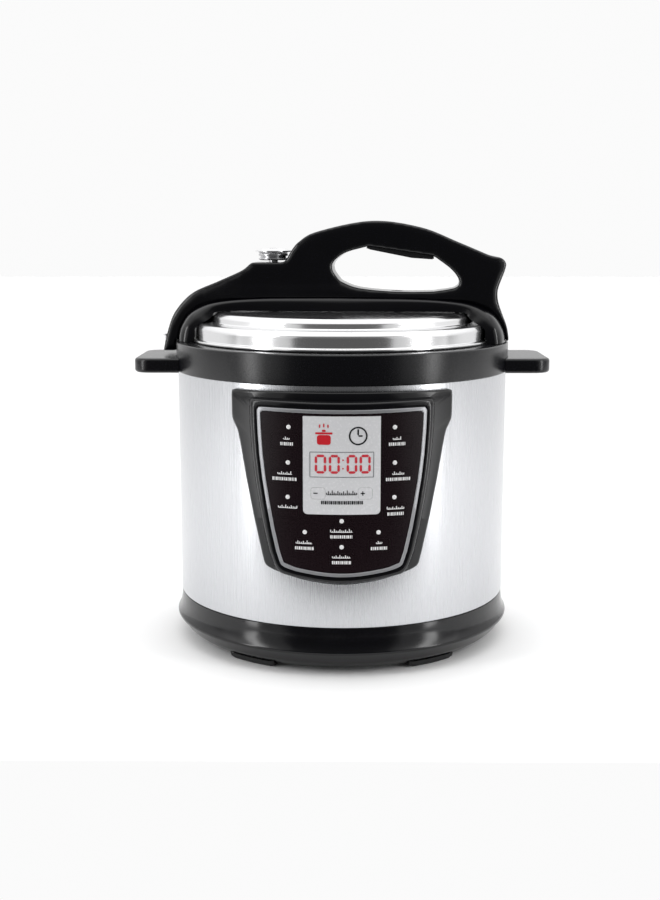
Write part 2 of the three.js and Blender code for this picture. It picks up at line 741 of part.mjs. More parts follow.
// ---- assembly ----
const cooker = new THREE.Group();
const housing = new THREE.Group();
const lid = new THREE.Group();
const vessel = new THREE.Group();
const turnedLid = new THREE.Group(); // stands turned by a few degrees, as the lid is set down
turnedLid.rotation.z = THREE.MathUtils.degToRad(LID_REST_TURN);
lid.add(turnedLid);
cooker.add(housing, lid, vessel);

addPart(housing, "base_shell", baseShell(), blackGloss);
addPart(housing, "bottom_plate", bottomPlate(), galvanised);
bottomScrewPlaces().forEach(([x, y], i) => {
  addPart(housing, `bottom_screw_${i + 1}`, bottomScrew(), plainSteel).position.set(x, y, 0);
});
for (const [name, azimuth] of [
  ["foot_front_left", 270 - FOOT_AZIMUTH], ["foot_front_right", 270 + FOOT_AZIMUTH],
  ["foot_rear_left", 90 + FOOT_AZIMUTH], ["foot_rear_right", 90 - FOOT_AZIMUTH],
]) {
  addPart(housing, name, foot(azimuth), rubber);
}
addPart(housing, "outer_shell", outerShell(), brushedSteel);
addPart(housing, "top_ring", topRing(), blackSatin);
addPart(housing, "side_handle_left", sideHandle(-1), blackSatin);
addPart(housing, "side_handle_right", sideHandle(1), blackSatin);
addPart(housing, "outer_pot", outerPot(), plainSteel);
addPart(housing, "heat_shield", heatShield(), galvanised);
addPart(housing, "heating_plate", heatingPlate(), aluminium);
addPart(housing, "sensor_plunger", sensorPlunger(), aluminium);
addPart(housing, "sensor_spring", sensorSpring(), plainSteel);
addPart(housing, "spring_plate", springPlate(), plainSteel);
addPart(housing, "pressure_switch", pressureSwitch(), whiteResin);
addPart(housing, "power_board", powerBoard(), boardGreen);
addPart(housing, "mains_inlet", mainsInlet(), blackSatin);
addPart(housing, "panel_frame", panelFrame(), blackGloss);
addPart(housing, "panel_trim", panelTrim(), silverPrint);
addPart(housing, "panel_overlay", panelOverlay(), membrane);
addPart(housing, "display_window", displayWindow(), displayWhite);
addPart(housing, "control_board", controlBoard(), boardGreen);
addPart(housing, "display_module", displayModule(), whiteResin);
for (const key of functionKeys()) addPart(housing, key.name, keyPad(key), membrane);
for (const key of timeKeys()) addPart(housing, key.name, keyPad(key), displayWhite);
addPart(housing, "condensate_cup", condensateCup(), clearPlastic);
addPart(housing, "cup_bracket", cupBracket(), blackSatin);

addPart(turnedLid, "lid_cover", lidCover(), polishedSteel);
addPart(turnedLid, "pressure_lid", pressureLid(), plainSteel);
addPart(turnedLid, "bridge_cover", bridgeCover(), blackGloss);
addPart(turnedLid, "handle_shell", handleShell(), blackGloss);
addPart(turnedLid, "handle_grip", handleGrip(), gripPlastic);
["handle_screw_left", "handle_screw_right"].forEach((name, i) => {
  addPart(turnedLid, name, handleScrew(), plainSteel).position.x = HANDLE_SCREWS[i];
});
addPart(turnedLid, "lid_hanger_pin", lidHangerPin(), plainSteel).position.set(PIN_X, PIN_Y, 0);
addPart(turnedLid, "vent_pipe", ventPipe(), plainSteel).position.x = VALVE_X;
addPart(turnedLid, "vent_nut", ventNut(), plainSteel).position.x = VALVE_X;
addPart(turnedLid, "anti_block_cap", antiBlockCap(), plainSteel).position.x = VALVE_X;
addPart(turnedLid, "limiter_weight", limiterWeight(), plainSteel).position.x = VALVE_X;
addPart(turnedLid, "limiter_cap", limiterCap(), polishedSteel).position.x = VALVE_X;
addPart(turnedLid, "float_valve", floatValve(), plainSteel).position.x = FLOAT_X;
addPart(turnedLid, "float_gasket", floatGasket(), silicone).position.x = FLOAT_X;
addPart(lid, "sealing_ring", sealingRing(), silicone);
addPart(lid, "seal_support_ring", sealSupportRing(), plainSteel);

addPart(vessel, "inner_pot", innerPot(), copperCoat);
addPart(vessel, "steam_rack", steamRack(), plainSteel);

export default cooker;
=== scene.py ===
"""Electric pressure cooker: its finished pieces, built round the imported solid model.

Shapes are drawn in millimetres in the frame of the solid model (+Z up, control panel towards -Y)
and are scaled to metres when a piece is finished.
"""

from math import atan2, cos, hypot, pi, radians, sin, sqrt

import bmesh
import bpy
from mathutils import Matrix, Vector


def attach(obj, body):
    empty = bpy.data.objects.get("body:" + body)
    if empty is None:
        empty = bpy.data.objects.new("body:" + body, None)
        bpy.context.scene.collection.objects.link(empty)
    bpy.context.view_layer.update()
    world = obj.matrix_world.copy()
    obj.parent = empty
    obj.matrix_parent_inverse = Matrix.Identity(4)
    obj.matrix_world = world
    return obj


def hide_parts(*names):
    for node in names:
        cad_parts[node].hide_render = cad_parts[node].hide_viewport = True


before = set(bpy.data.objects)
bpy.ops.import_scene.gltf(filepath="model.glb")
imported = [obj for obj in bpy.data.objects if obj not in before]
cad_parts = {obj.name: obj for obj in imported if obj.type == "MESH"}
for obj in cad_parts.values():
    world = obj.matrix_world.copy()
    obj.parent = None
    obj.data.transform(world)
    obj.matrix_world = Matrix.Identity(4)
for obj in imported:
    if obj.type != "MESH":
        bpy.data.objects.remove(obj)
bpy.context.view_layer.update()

MM = 0.001
LID_TURN = radians(-4)  # the lid stands this far from the line of the side handles


# ---------------------------------------------------------------- materials
def colour(code):
    """An sRGB hex value as the linear colour that a shader takes."""

    def linear(channel):
        return channel / 12.92 if channel <= 0.04045 else ((channel + 0.055) / 1.055) ** 2.4

    value = int(code.lstrip("#"), 16)
    return tuple(linear((value >> shift & 255) / 255) for shift in (16, 8, 0)) + (1.0,)


def add(material, kind, settings=(), **inputs):
    """Adds a node. Settings are its properties; inputs are values, or sockets to link from.

    An input is named as its socket is, with _ for a space, or in0, in1, in2 for its place.
    """
    tree = material.node_tree
    node = tree.nodes.new(kind)
    for name, value in dict(settings).items():
        setattr(node, name, value)
    for name, value in inputs.items():
        by_place = name.startswith("in") and name[2:].isdigit()
        socket = node.inputs[int(name[2:]) if by_place else name.replace("_", " ")]
        if isinstance(value, bpy.types.NodeSocket):
            tree.links.new(value, socket)
        else:
            socket.default_value = value
    return node


def surface(name, base, roughness, metallic=0.0, **more):
    """A material with its uniform values on the shader's own sockets."""
    material = bpy.data.materials.new(name)
    material.use_nodes = True
    shader = material.node_tree.nodes["Principled BSDF"]
    uniform = {"Base_Color": colour(base), "Roughness": roughness, "Metallic": metallic, **more}
    for socket, value in uniform.items():
        shader.inputs[socket.replace("_", " ")].default_value = value
    return material


def shader_input(material, socket, source):
    material.node_tree.links.new(source, material.node_tree.nodes["Principled BSDF"].inputs[socket])


def scaled_place(material, per_mm):
    """Object coordinates in features per millimetre: one number, or one for each axis."""
    values = per_mm if isinstance(per_mm, tuple) else (per_mm,) * 3
    place = add(material, "ShaderNodeTexCoord").outputs["Object"]
    scale = tuple(1 / MM * value for value in values)
    return add(material, "ShaderNodeMapping", Vector=place, Scale=scale).outputs["Vector"]


def turned_place(material, radial_per_mm, height_per_mm):
    """Coordinates that only change with radius and height, for marks left by turning."""

    def times(source, per_mm):
        settings = {"operation": "MULTIPLY"}
        return add(material, "ShaderNodeMath", settings, in0=source, in1=per_mm / MM).outputs[0]

    place = add(material, "ShaderNodeTexCoord").outputs["Object"]
    parts = add(material, "ShaderNodeSeparateXYZ", Vector=place).outputs
    flat = add(material, "ShaderNodeCombineXYZ", X=parts["X"], Y=parts["Y"]).outputs["Vector"]
    radius = add(material, "ShaderNodeVectorMath", {"operation": "LENGTH"}, Vector=flat).outputs["Value"]
    across, upward = times(radius, radial_per_mm), times(parts["Z"], height_per_mm)
    return add(material, "ShaderNodeCombineXYZ", X=across, Z=upward).outputs["Vector"]


def noise(material, place, detail=2.0, roughness=0.5):
    node = add(material, "ShaderNodeTexNoise", Vector=place, Scale=1.0, Detail=detail, Roughness=roughness)
    return node.outputs[0]


def vary_roughness(material, source, low, high):
    spread = add(
        material, "ShaderNodeMapRange", Value=source, From_Min=0.3, From_Max=0.7, To_Min=low, To_Max=high
    )
    shader_input(material, "Roughness", spread.outputs["Result"])


def vary_colour(material, source, first, second):
    blend = add(material, "ShaderNodeMix", {"data_type": "RGBA"}, Factor=source)
    colours = [socket for socket in blend.inputs if socket.type == "RGBA"]
    colours[0].default_value = colour(first)
    colours[1].default_value = colour(second)
    result = [socket for socket in blend.outputs if socket.type == "RGBA"][0]
    shader_input(material, "Base Color", result)


def relief(material, source, height_mm, strength):
    bump = add(material, "ShaderNodeBump", Strength=strength, Distance=height_mm * MM, Height=source)
    shader_input(material, "Normal", bump.outputs["Normal"])


# A layer is a pattern with its effects: rough=(low, high), tint=(first, second) and
# relief=(height in mm, strength).
EFFECTS = {"rough": vary_roughness, "tint": vary_colour, "relief": relief}


def grain(per_mm, detail=2.0, roughness=0.5, **effects):
    """A layer of noise."""
    return lambda material: noise(material, scaled_place(material, per_mm), detail, roughness), effects


def rings(radial_per_mm, height_per_mm, detail=2.0, roughness=0.5, **effects):
    """A layer of tool rings about the upright axis."""

    def make(material):
        return noise(material, turned_place(material, radial_per_mm, height_per_mm), detail, roughness)

    return make, effects


def cells(per_mm, edges=False, **effects):
    """A layer of small cells, each with a shade of its own or with its edges picked out."""

    def make(material):
        settings = {"feature": "DISTANCE_TO_EDGE"} if edges else {}
        place = scaled_place(material, per_mm)
        outputs = add(material, "ShaderNodeTexVoronoi", settings, Vector=place, Scale=1.0).outputs
        if edges:
            return outputs["Distance"]
        return add(material, "ShaderNodeSeparateColor", Color=outputs["Color"]).outputs[0]

    return make, effects


def tracks(per_mm, **effects):
    """A layer of staggered lines, as on a circuit board."""

    def make(material):
        return add(
            material, "ShaderNodeTexBrick", {"offset": 0.37, "squash": 1.6},
            Vector=scaled_place(material, per_mm), Scale=1.0, Mortar_Size=0.12, Mortar_Smooth=0.1,
        ).outputs["Fac"]

    return make, effects


def finish(slot, name, base, roughness, *layers, **uniform):
    """A material: uniform values, and layers that vary them. Its slot is not used."""
    material = surface(name, base, roughness, **uniform)
    for make, effects in layers:
        source = make(material)
        for effect, bounds in effects.items():
            EFFECTS[effect](material, source, *bounds)
    return material


def ink(slot, name, code):
    # Screen-printed ink: flat colour whose edge and thickness show as a slight unevenness.
    return finish(slot, name, code, 0.35, grain(3.0, rough=(0.29, 0.45), relief=(0.004, 0.4)), IOR=1.5)


# ABS, moulded in a polished tool: deep black, mirror-like, with the faint waviness of a thick wall.
ABS = finish(
    "black_gloss", "abs_moulded_gloss_black", "#020205", 0.16,
    grain(0.05, 4, rough=(0.13, 0.21)), grain(0.09, 1, relief=(0.25, 0.35)),
    IOR=1.53, Specular_IOR_Level=0.36,
)
# Polypropylene, moulded in a blasted tool: black with a soft broad sheen and a fine even grain.
SATIN = finish(
    "black_satin", "polypropylene_moulded_satin_black", "#030307", 0.25,
    grain(1.6, 3, rough=(0.2, 0.3), relief=(0.012, 0.5)), IOR=1.49, Specular_IOR_Level=0.4,
)
# Polypropylene with a leather-like tool texture: dull black that breaks highlights into small flecks.
GRIP = finish(
    "grip_plastic", "polypropylene_textured_grip", "#0B0B0D", 0.55,
    cells(0.8, edges=True, relief=(0.12, 0.8)), grain(0.4, rough=(0.48, 0.62)),
    IOR=1.49, Specular_IOR_Level=0.3,
)
# Stainless steel sheet, brushed along the body's height: hair lines up the wall that spread each
# reflection sideways into soft upright bands. Real lines are 0.05 mm apart; these are 0.4 mm apart.
BRUSHED = finish(
    "brushed_steel", "stainless_steel_brushed", "#C4C5C8", 0.26,
    grain((2.4, 2.4, 0.02), 5, 0.65, rough=(0.21, 0.32), tint=("#BBBCBF", "#CECFD2"), relief=(0.0012, 0.4)),
    metallic=1.0,
)
# Stainless steel, deep drawn and buffed on a wheel: a soft, bright mirror with faint rings round the lid.
POLISHED = finish(
    "polished_steel", "stainless_steel_polished", "#E4E4E5", 0.16,
    rings(1.5, 1.5, 4, 0.6, rough=(0.13, 0.2), relief=(0.002, 0.4)), metallic=1.0,
)
# Stainless steel, pressed and tumbled: faintly warm and slightly cloudy, with a fine random grain.
PRESSED = finish(
    "plain_steel", "stainless_steel_pressed", "#C9C1BB", 0.26,
    grain(0.12, 6, 0.6, rough=(0.2, 0.34), tint=("#BCB3AC", "#D3CDC8")), grain(1.2, relief=(0.001, 0.4)),
    metallic=1.0,
)
# Steel turned on a lathe: fine tool rings that catch the light round each piece.
TURNED = finish(
    "plain_steel", "stainless_steel_turned", "#C9C9CB", 0.22,
    grain((0.05, 0.05, 3.0), 3, rough=(0.16, 0.3), relief=(0.006, 0.6)), metallic=1.0,
)
# Steel sheet with a hot-dip zinc coat: dull silver, broken into crystals about 6 mm across.
ZINC = finish(
    "zinc_plate", "zinc_coated_sheet", "#9EA2A5", 0.42,
    cells(0.16, rough=(0.34, 0.5), tint=("#8E9296", "#AEB2B5")), grain(0.5, relief=(0.01, 0.5)), metallic=1.0,
)
# Aluminium, die cast and faced on a lathe: pale grey, satin, with turning rings 0.5 mm apart.
CAST = finish(
    "cast_aluminium", "aluminium_cast_faced", "#B4B5B7", 0.36,
    rings(2.0, 0.2, rough=(0.3, 0.44), relief=(0.02, 0.6)), grain(0.08, 5, tint=("#A7A8AA", "#C0C1C2")),
    metallic=1.0,
)
# Aluminium, trimmed and buffed: the pot's bright uncoated rim.
BUFFED = finish(
    "cast_aluminium", "aluminium_buffed", "#DADADA", 0.16,
    rings(3.0, 3.0, rough=(0.1, 0.24), relief=(0.004, 0.5)), metallic=1.0,
)
# Sprayed non-stick coating with metal flake: warm copper brown, satin, with a fine sparkle.
COPPER = finish(
    "copper_coating", "nonstick_coating_copper_brown", "#9A673C", 0.34,
    cells(2.5, tint=("#8A5A33", "#AD7848")), grain(0.1, 5, rough=(0.28, 0.42)),
    grain(1.0, 3, relief=(0.012, 0.4)), metallic=0.75, Coat_Weight=0.25, Coat_Roughness=0.25,
)
# Silicone, moulded: milky, slightly soft to the light, with a dusty satin skin.
SILICONE = finish(
    "silicone", "silicone_moulded", "#D8D5CE", 0.5,
    grain(0.3, 4, rough=(0.42, 0.58)), grain(1.5, relief=(0.01, 0.4)),
    IOR=1.41, Subsurface_Weight=0.15, Subsurface_Scale=0.004,
)
# Nitrile rubber, moulded: dull black with a dry grain.
RUBBER = finish(
    "foot_rubber", "nitrile_rubber_moulded", "#141415", 0.7,
    grain(1.4, 4, rough=(0.62, 0.8), relief=(0.03, 0.6)), IOR=1.52,
)
# Polystyrene, moulded clear: see-through with bright edges and slight flow marks.
CLEAR = finish(
    "clear_plastic", "polystyrene_moulded_clear", "#E9EEF0", 0.06,
    grain((0.06, 0.06, 0.02), rough=(0.04, 0.12), relief=(0.15, 0.3)), IOR=1.59, Transmission_Weight=0.92,
)
# Polyester film, printed on its back: very dark maroon under a clear, lightly textured face.
FILM = finish(
    "panel_film", "polyester_film_maroon", "#150A0E", 0.26,
    grain(2.0, tint=("#13090D", "#190D12"), rough=(0.22, 0.32), relief=(0.004, 0.4)),
    IOR=1.57, Specular_IOR_Level=0.2,
)
# The same film printed white: cool white, smooth, with the ink's slight mottle.
WHITE_FILM = finish(
    "display_white", "polyester_film_white", "#E2E3E5", 0.24,
    grain(0.5, 4, tint=("#DDDEE0", "#E8E8EA"), rough=(0.2, 0.3)), IOR=1.57,
)
WHITE_INK = ink("display_white", "screen_ink_white", "#F2F2F2")
GREY_INK = ink("silver_print", "screen_ink_grey", "#6A6C70")
RED_INK = ink("panel_film", "screen_ink_red", "#D2222E")
DARK_INK = ink("panel_film", "screen_ink_black", "#1C1D20")
# Silver lacquer with fine aluminium flake on the moulded border: soft grey metal sheen.
SILVER = finish(
    "silver_print", "silver_lacquer_sprayed", "#9C9DA0", 0.36,
    grain(3.0, 3, tint=("#8F9093", "#AEAFB2"), rough=(0.3, 0.45), relief=(0.004, 0.4)), metallic=0.6,
)
# LED segment behind red film: saturated red with a little light of its own.
LED = finish(
    "panel_film", "led_segment_red", "#C23540", 0.3, grain(1.2, 1, tint=("#B52F3B", "#CC3E49")),
    IOR=1.5, Emission_Strength=0.12, Emission_Color=colour("#E0303C"),
)
# Glass-fibre board under green solder mask: tracks about 1 mm wide show through it.
BOARD = finish(
    "circuit_board", "circuit_board_green", "#1D5B33", 0.38,
    tracks(0.25, tint=("#1B5630", "#3C8A4B"), relief=(0.05, 0.6)), IOR=1.55,
)
# Glass-filled polyamide, moulded: ivory with a dry, slightly fibrous face.
RESIN = finish(
    "white_resin", "polyamide_moulded_ivory", "#DDD8CA", 0.5,
    grain((0.8, 0.8, 0.15), 4, rough=(0.42, 0.6), tint=("#D3CDBD", "#E5E1D5"), relief=(0.02, 0.5)), IOR=1.53,
)


# ---------------------------------------------------------------- shaping
def verts_of(geometry):
    return [item for item in geometry if isinstance(item, bmesh.types.BMVert)]


def moved(mesh, x=0.0, y=0.0, z=0.0):
    bmesh.ops.translate(mesh, verts=mesh.verts[:], vec=(x, y, z))
    return mesh


def spun(mesh, angle, axis="Z"):
    bmesh.ops.rotate(mesh, verts=mesh.verts[:], cent=(0, 0, 0), matrix=Matrix.Rotation(angle, 3, axis))
    return mesh


def bevelled(mesh, items, radius, segments=3, affect="EDGES", clamped=False):
    bmesh.ops.bevel(
        mesh, geom=items, offset=radius, offset_type="OFFSET", segments=segments, profile=0.5, material=-1,
        affect=affect, clamp_overlap=clamped,
    )


def smooth_line(points, steps=8):
    """Points along a smooth curve through the given ones."""
    ends = [2 * Vector(points[0]) - Vector(points[1]), 2 * Vector(points[-1]) - Vector(points[-2])]
    line = [ends[0], *map(Vector, points), ends[1]]
    made = []
    for a, b, c, d in zip(line, line[1:], line[2:], line[3:]):
        for step in range(steps):
            t = step / steps
            bend, twist = 2 * a - 5 * b + 4 * c - d, 3 * b - a - 3 * c + d
            made.append(0.5 * (2 * b + (c - a) * t + bend * t**2 + twist * t**3))
    made.append(line[-2])
    return [tuple(point) for point in made]


def closed_up(mesh, distance=0.004):
    """Joins doubled points and turns every face outwards."""
    bmesh.ops.remove_doubles(mesh, verts=mesh.verts[:], dist=distance)
    bmesh.ops.dissolve_degenerate(mesh, edges=mesh.edges[:], dist=distance / 4)
    bmesh.ops.recalc_face_normals(mesh, faces=mesh.faces[:])
    return mesh


def turned(profile, steps=144, at=(0, 0)):
    """A section of [radius, height] points turned about Z. A third value rounds that corner."""
    mesh = bmesh.new()
    corners = [mesh.verts.new((point[0], 0, point[1])) for point in profile]
    mesh.faces.new(corners)
    for radius in sorted({point[2] for point in profile if len(point) > 2}):
        chosen = [v for v, point in zip(corners, profile) if len(point) > 2 and point[2] == radius]
        bevelled(mesh, chosen, radius, 4, "VERTICES", True)
    bmesh.ops.delete(mesh, geom=mesh.faces[:], context="FACES_ONLY")
    on_axis = [e for e in mesh.edges if all(abs(v.co.x) < 1e-6 for v in e.verts)]
    bmesh.ops.delete(mesh, geom=on_axis, context="EDGES")
    bmesh.ops.spin(
        mesh, geom=mesh.verts[:] + mesh.edges[:], cent=(0, 0, 0), axis=(0, 0, 1), dvec=(0, 0, 0),
        angle=2 * pi, steps=steps, use_merge=True, use_duplicate=False,
    )
    return moved(closed_up(mesh), *at)


def flat_face(points, axis="z", level=0.0):
    mesh = bmesh.new()
    place = (lambda a, b: (a, b, level)) if axis == "z" else (lambda a, b: (a, level, b))
    mesh.faces.new([mesh.verts.new(place(*point)) for point in points])
    return mesh


def raised(points, low, high, edge=0.0, axis="z", segments=3):
    """An outline drawn out along an axis, with its two rims rounded by edge."""
    mesh = flat_face(points, axis, low)
    grown = bmesh.ops.extrude_face_region(mesh, geom=mesh.faces[:])["geom"]
    step = (0, 0, high - low) if axis == "z" else (0, high - low, 0)
    bmesh.ops.translate(mesh, verts=verts_of(grown), vec=step)
    bmesh.ops.recalc_face_normals(mesh, faces=mesh.faces[:])
    if edge:
        index = 2 if axis == "z" else 1
        rims = [e for e in mesh.edges if abs(e.verts[0].co[index] - e.verts[1].co[index]) < 1e-6]
        bevelled(mesh, rims, edge, segments, clamped=True)
    return mesh


def rounded_rectangle(x, y, width, height, corner, steps=6):
    points = []
    for quarter, (sx, sy) in enumerate([(1, 1), (-1, 1), (-1, -1), (1, -1)]):
        cx, cy = x + sx * (width / 2 - corner), y + sy * (height / 2 - corner)
        for step in range(steps + 1):
            angle = (quarter + step / steps) * pi / 2
            points.append((cx + corner * cos(angle), cy + corner * sin(angle)))
    return points


def circle(x, y, radius, steps=24):
    angles = [2 * pi * i / steps for i in range(steps)]
    return [(x + radius * cos(angle), y + radius * sin(angle)) for angle in angles]


def box_shape(x, y, z, edge=0.4):
    """A block between the given limits with all its edges rounded."""
    mesh = bmesh.new()
    bmesh.ops.create_cube(mesh, size=1)
    bmesh.ops.scale(mesh, verts=mesh.verts[:], vec=(x[1] - x[0], y[1] - y[0], z[1] - z[0]))
    moved(mesh, sum(x) / 2, sum(y) / 2, sum(z) / 2)
    if edge:
        bevelled(mesh, mesh.edges[:], edge)
    return mesh


def joined(*meshes):
    """Several shapes as one mesh."""
    whole = bmesh.new()
    for mesh in meshes:
        data = bpy.data.meshes.new("joined")
        mesh.to_mesh(data)
        mesh.free()
        whole.from_mesh(data)
        bpy.data.meshes.remove(data)
    return whole


def through_modifier(mesh, *others, kind, **settings):
    """The mesh after one modifier; others are the tools that it works with."""
    made = []
    for shape in (mesh, *others):
        data = bpy.data.meshes.new("shape")
        shape.to_mesh(data)
        shape.free()
        item = bpy.data.objects.new("shape", data)
        bpy.context.scene.collection.objects.link(item)
        made.append(item)
    modifier = made[0].modifiers.new("work", kind)
    if others:
        modifier.object = made[1]
    for name, value in settings.items():
        setattr(modifier, name, value)
    bpy.context.view_layer.update()
    shaped = made[0].evaluated_get(bpy.context.evaluated_depsgraph_get())
    data = bpy.data.meshes.new_from_object(shaped)
    result = bmesh.new()
    result.from_mesh(data)
    bpy.data.meshes.remove(data)
    for item in made:
        bpy.data.meshes.remove(item.data)
    return result


def carved(mesh, *tools):
    """The mesh with the tools' space cut away."""
    bmesh.ops.triangulate(mesh, faces=[f for f in mesh.faces if len(f.verts) > 4])
    several = len(tools) > 1
    tool = joined(*tools) if several else tools[0]
    settings = {"operation": "DIFFERENCE", "solver": "EXACT", "use_self": several}
    return through_modifier(mesh, tool, kind="BOOLEAN", **settings)


def lofted(loops, capped=True):
    """Rings with the same number of points, bridged one after another."""
    mesh = bmesh.new()
    edges = []
    for loop in loops:
        verts = [mesh.verts.new(point) for point in loop]
        edges.append([mesh.edges.new(pair) for pair in zip(verts, verts[1:] + verts[:1])])
        if capped and len(edges) in (1, len(loops)):
            mesh.faces.new(verts)
    for first, second in zip(edges, edges[1:]):
        bmesh.ops.bridge_loops(mesh, edges=first + second)
    bmesh.ops.recalc_face_normals(mesh, faces=mesh.faces[:])
    return mesh


def ring_of(loops, distance=0.004):
    """Loops bridged one after another and back to the first."""
    return closed_up(lofted([*loops, loops[0]], capped=False), distance)


def section_at(angle, section):
    """Points of radius and height, placed at an angle about Z."""
    return [(r * cos(angle), r * sin(angle), z) for r, z in section]


def wrapped(points, inner, outer, step=3.0):
    """An outline in X and Z laid on a cylinder about Z at the front, drawn out from inner to outer radius."""
    mesh = flat_face(points, "y")
    reach = max(abs(x) for x, _ in points)
    count = int(2 * reach / step)
    for i in range(1, count):
        bmesh.ops.bisect_plane(
            mesh, geom=mesh.verts[:] + mesh.edges[:] + mesh.faces[:], dist=1e-4,
            plane_co=(-reach + 2 * reach * i / count, 0, 0), plane_no=(1, 0, 0),
        )
    front = set(verts_of(bmesh.ops.extrude_face_region(mesh, geom=mesh.faces[:])["geom"]))
    for vert in mesh.verts:
        radius = outer if vert in front else inner
        vert.co.y = -sqrt(radius**2 - vert.co.x**2)
    bmesh.ops.recalc_face_normals(mesh, faces=mesh.faces[:])
    return mesh


def piece(name, mesh, material, body, *nodes, sharp=32):
    """Finishes a shape: metres, smooth faces with crisp edges, its material and body; it hides the model's
    solids that it stands for.
    """
    bmesh.ops.scale(mesh, verts=mesh.verts[:], vec=(MM, MM, MM))
    for face in mesh.faces:
        face.smooth = True
    data = bpy.data.meshes.new(name)
    mesh.to_mesh(data)
    mesh.free()
    data.set_sharp_from_angle(angle=radians(sharp))
    data.materials.append(material)
    made = bpy.data.objects.new(name, data)
    bpy.context.scene.collection.objects.link(made)
    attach(made, body)
    if nodes:
        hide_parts(*nodes)


def lid_piece(name, mesh, material, body, node, sharp=32):
    """A piece that stands at the lid's angle."""
    piece(name, spun(mesh, LID_TURN), material, body, node, sharp=sharp)


# ---------------------------------------------------------------- base and body
def base_shell():
    # The skirt draws out in a cove to a rim, then tucks under to the floor flange.
    section = [
        (142.7, 39.7, 0.4), (143.1, 33), (143.9, 27.5), (145.2, 23.2), (147, 20.6, 0.7), (146.8, 18.9, 0.6),
        (144.2, 15.6), (139, 9, 2.5), (130, 3, 1), (124, 3, 0.5), (124, 6), (116, 6), (116, 8), (129, 8),
        (142.4, 20), (139.6, 46), (141.6, 46), (141.6, 39.7),
    ]
    piece("base_skirt", turned(section), ABS, "housing", "base_shell")


def bottom_plate():
    plate = turned([(0, 3.6), (123.6, 3.6, 0.4), (123.6, 5.7), (0, 5.7)])
    louvres = [raised(rounded_rectangle(0, 22 * row, 68, 6, 2.9), 0, 10) for row in range(-2, 3)]
    holes = [raised(circle(x, 0, 2.3), 0, 10) for x in (-112, 112)]
    piece("vented_bottom_plate", carved(plate, *louvres, *holes), ZINC, "housing", "bottom_plate")


def foot(name, azimuth):
    # A moulded pad: a short arc under the rim with its ends and sole rounded.
    section = [(118.6, 0), (131.6, 0), (133.4, 1.6), (134.2, 5.1), (130, 2.7), (118.6, 2.7)]
    loops = []
    for step in range(13):
        spread = -1 + step / 6
        shrink = 0.0 if abs(spread) < 0.95 else 1.1
        drawn_in = [(r - shrink * (r > 130), z + shrink * (z < 1)) for r, z in section]
        loops.append(section_at(radians(azimuth + 9.9 * spread), drawn_in))
    piece(name + "_pad", lofted(loops), RUBBER, "housing", name)


def strip_at_back(low, high):
    """A length of the lap seam: the sheet's folded edge, 6 mm wide, up the back of the body."""
    loops = []
    for step in range(9):
        outer = 143.1 if step in (0, 8) else 143.45
        section = [(142.9, low), (outer, low), (outer, high), (142.9, high)]
        loops.append(section_at(radians(88.8 + 0.3 * step), section))
    return lofted(loops)


def body_shell():
    sheet = turned([(143, 40.6, 0.5), (143, 233.8), (142.2, 233.8), (142.2, 40.2), (142.6, 40.2, 0.2)])
    inlet = raised(rounded_rectangle(0, 63, 30, 26, 2), 120, 160, axis="y")
    made = carved(sheet, inlet)
    laps = [strip_at_back(low, high) for low, high in ((41, 45.5), (80.5, 146), (204.5, 233.4))]
    piece("body_shell_lap", joined(*laps), BRUSHED, "housing")
    piece("body_shell", made, BRUSHED, "housing", "outer_shell")


def top_ring():
    section = [
        (144.5, 234.1, 0.8), (144.5, 257.6), (143.6, 258.5, 0.6), (125.4, 258.5, 0.8), (125, 249.6),
        (127.2, 249.6), (127.2, 256.3), (142.2, 256.3), (142.2, 236.4), (139.6, 236.4), (139.6, 226),
        (141.6, 226), (141.6, 234.1),
    ]
    piece("top_ring_moulding", turned(section), SATIN, "housing", "top_ring")


def cylinder(radius, low, high):
    return turned([(0, low), (radius, low), (radius, high), (0, high)])


def side_handle(side, name):
    # A flat lug with a rounded rim, hollowed underneath, curved to sit against the ring.
    plate = raised(rounded_rectangle(side * 148.7, 0, 57.6, 87, 14, steps=10), 233.4, 245.7, 2.6, segments=4)
    ring = cylinder(144.8, 220, 260)
    hollow = raised(rounded_rectangle(side * 150, 0, 47, 76, 10), 225, 240, 0)
    hollow = carved(hollow, cylinder(148, 222, 242))
    piece(name + "_lug", carved(carved(plate, ring), hollow), SATIN, "housing", name, sharp=40)


# ---------------------------------------------------------------- control panel
FILM_BACK = 154.5  # radii of the panel's layers
FILM_FACE = 156.0
PRINT = 156.08
DISPLAY_PRINT = 156.12
KEY_GAP = 0.15


def mirrored(half):
    """A closed outline from its right half, given from the bottom middle to the top."""
    return half + [(-x, z) for x, z in reversed(half) if x > 1e-6]


def frame_outline(inset=0.0):
    """Outside of the panel's frame, drawn in by a given amount."""
    i = inset
    edge = [(-15.4, 78.2 + i), (0, 77.2 + i), (15.4, 78.2 + i), (34, 81.2 + i), (53 - i / 2, 86.4 + i)]
    low = smooth_line(edge, 6)[6:]
    corner = smooth_line([(57.5 - i / 2, 88.2 + i), (60.8 - i, 90.6 + i / 2), (62 - i, 94)], 4)
    side = [(x - i, z) for x, z in ((63.7, 100.7), (70, 129.3), (75.6, 158), (80.4, 186.4), (82.4, 196.4))]
    wing = smooth_line([(84 - i, 200.5), (86.4 - i, 204.2), (87.2 - i, 209), (87.4 - i, 219)], 4)
    top = [(87.4 - i, 226.6), (86.8 - i, 228.6), (85.2 - i, 229.4), (60, 229.8), (30, 230.1), (0, 230.2)]
    return mirrored(low + corner + side + wing + [(x, z - i) for x, z in top])


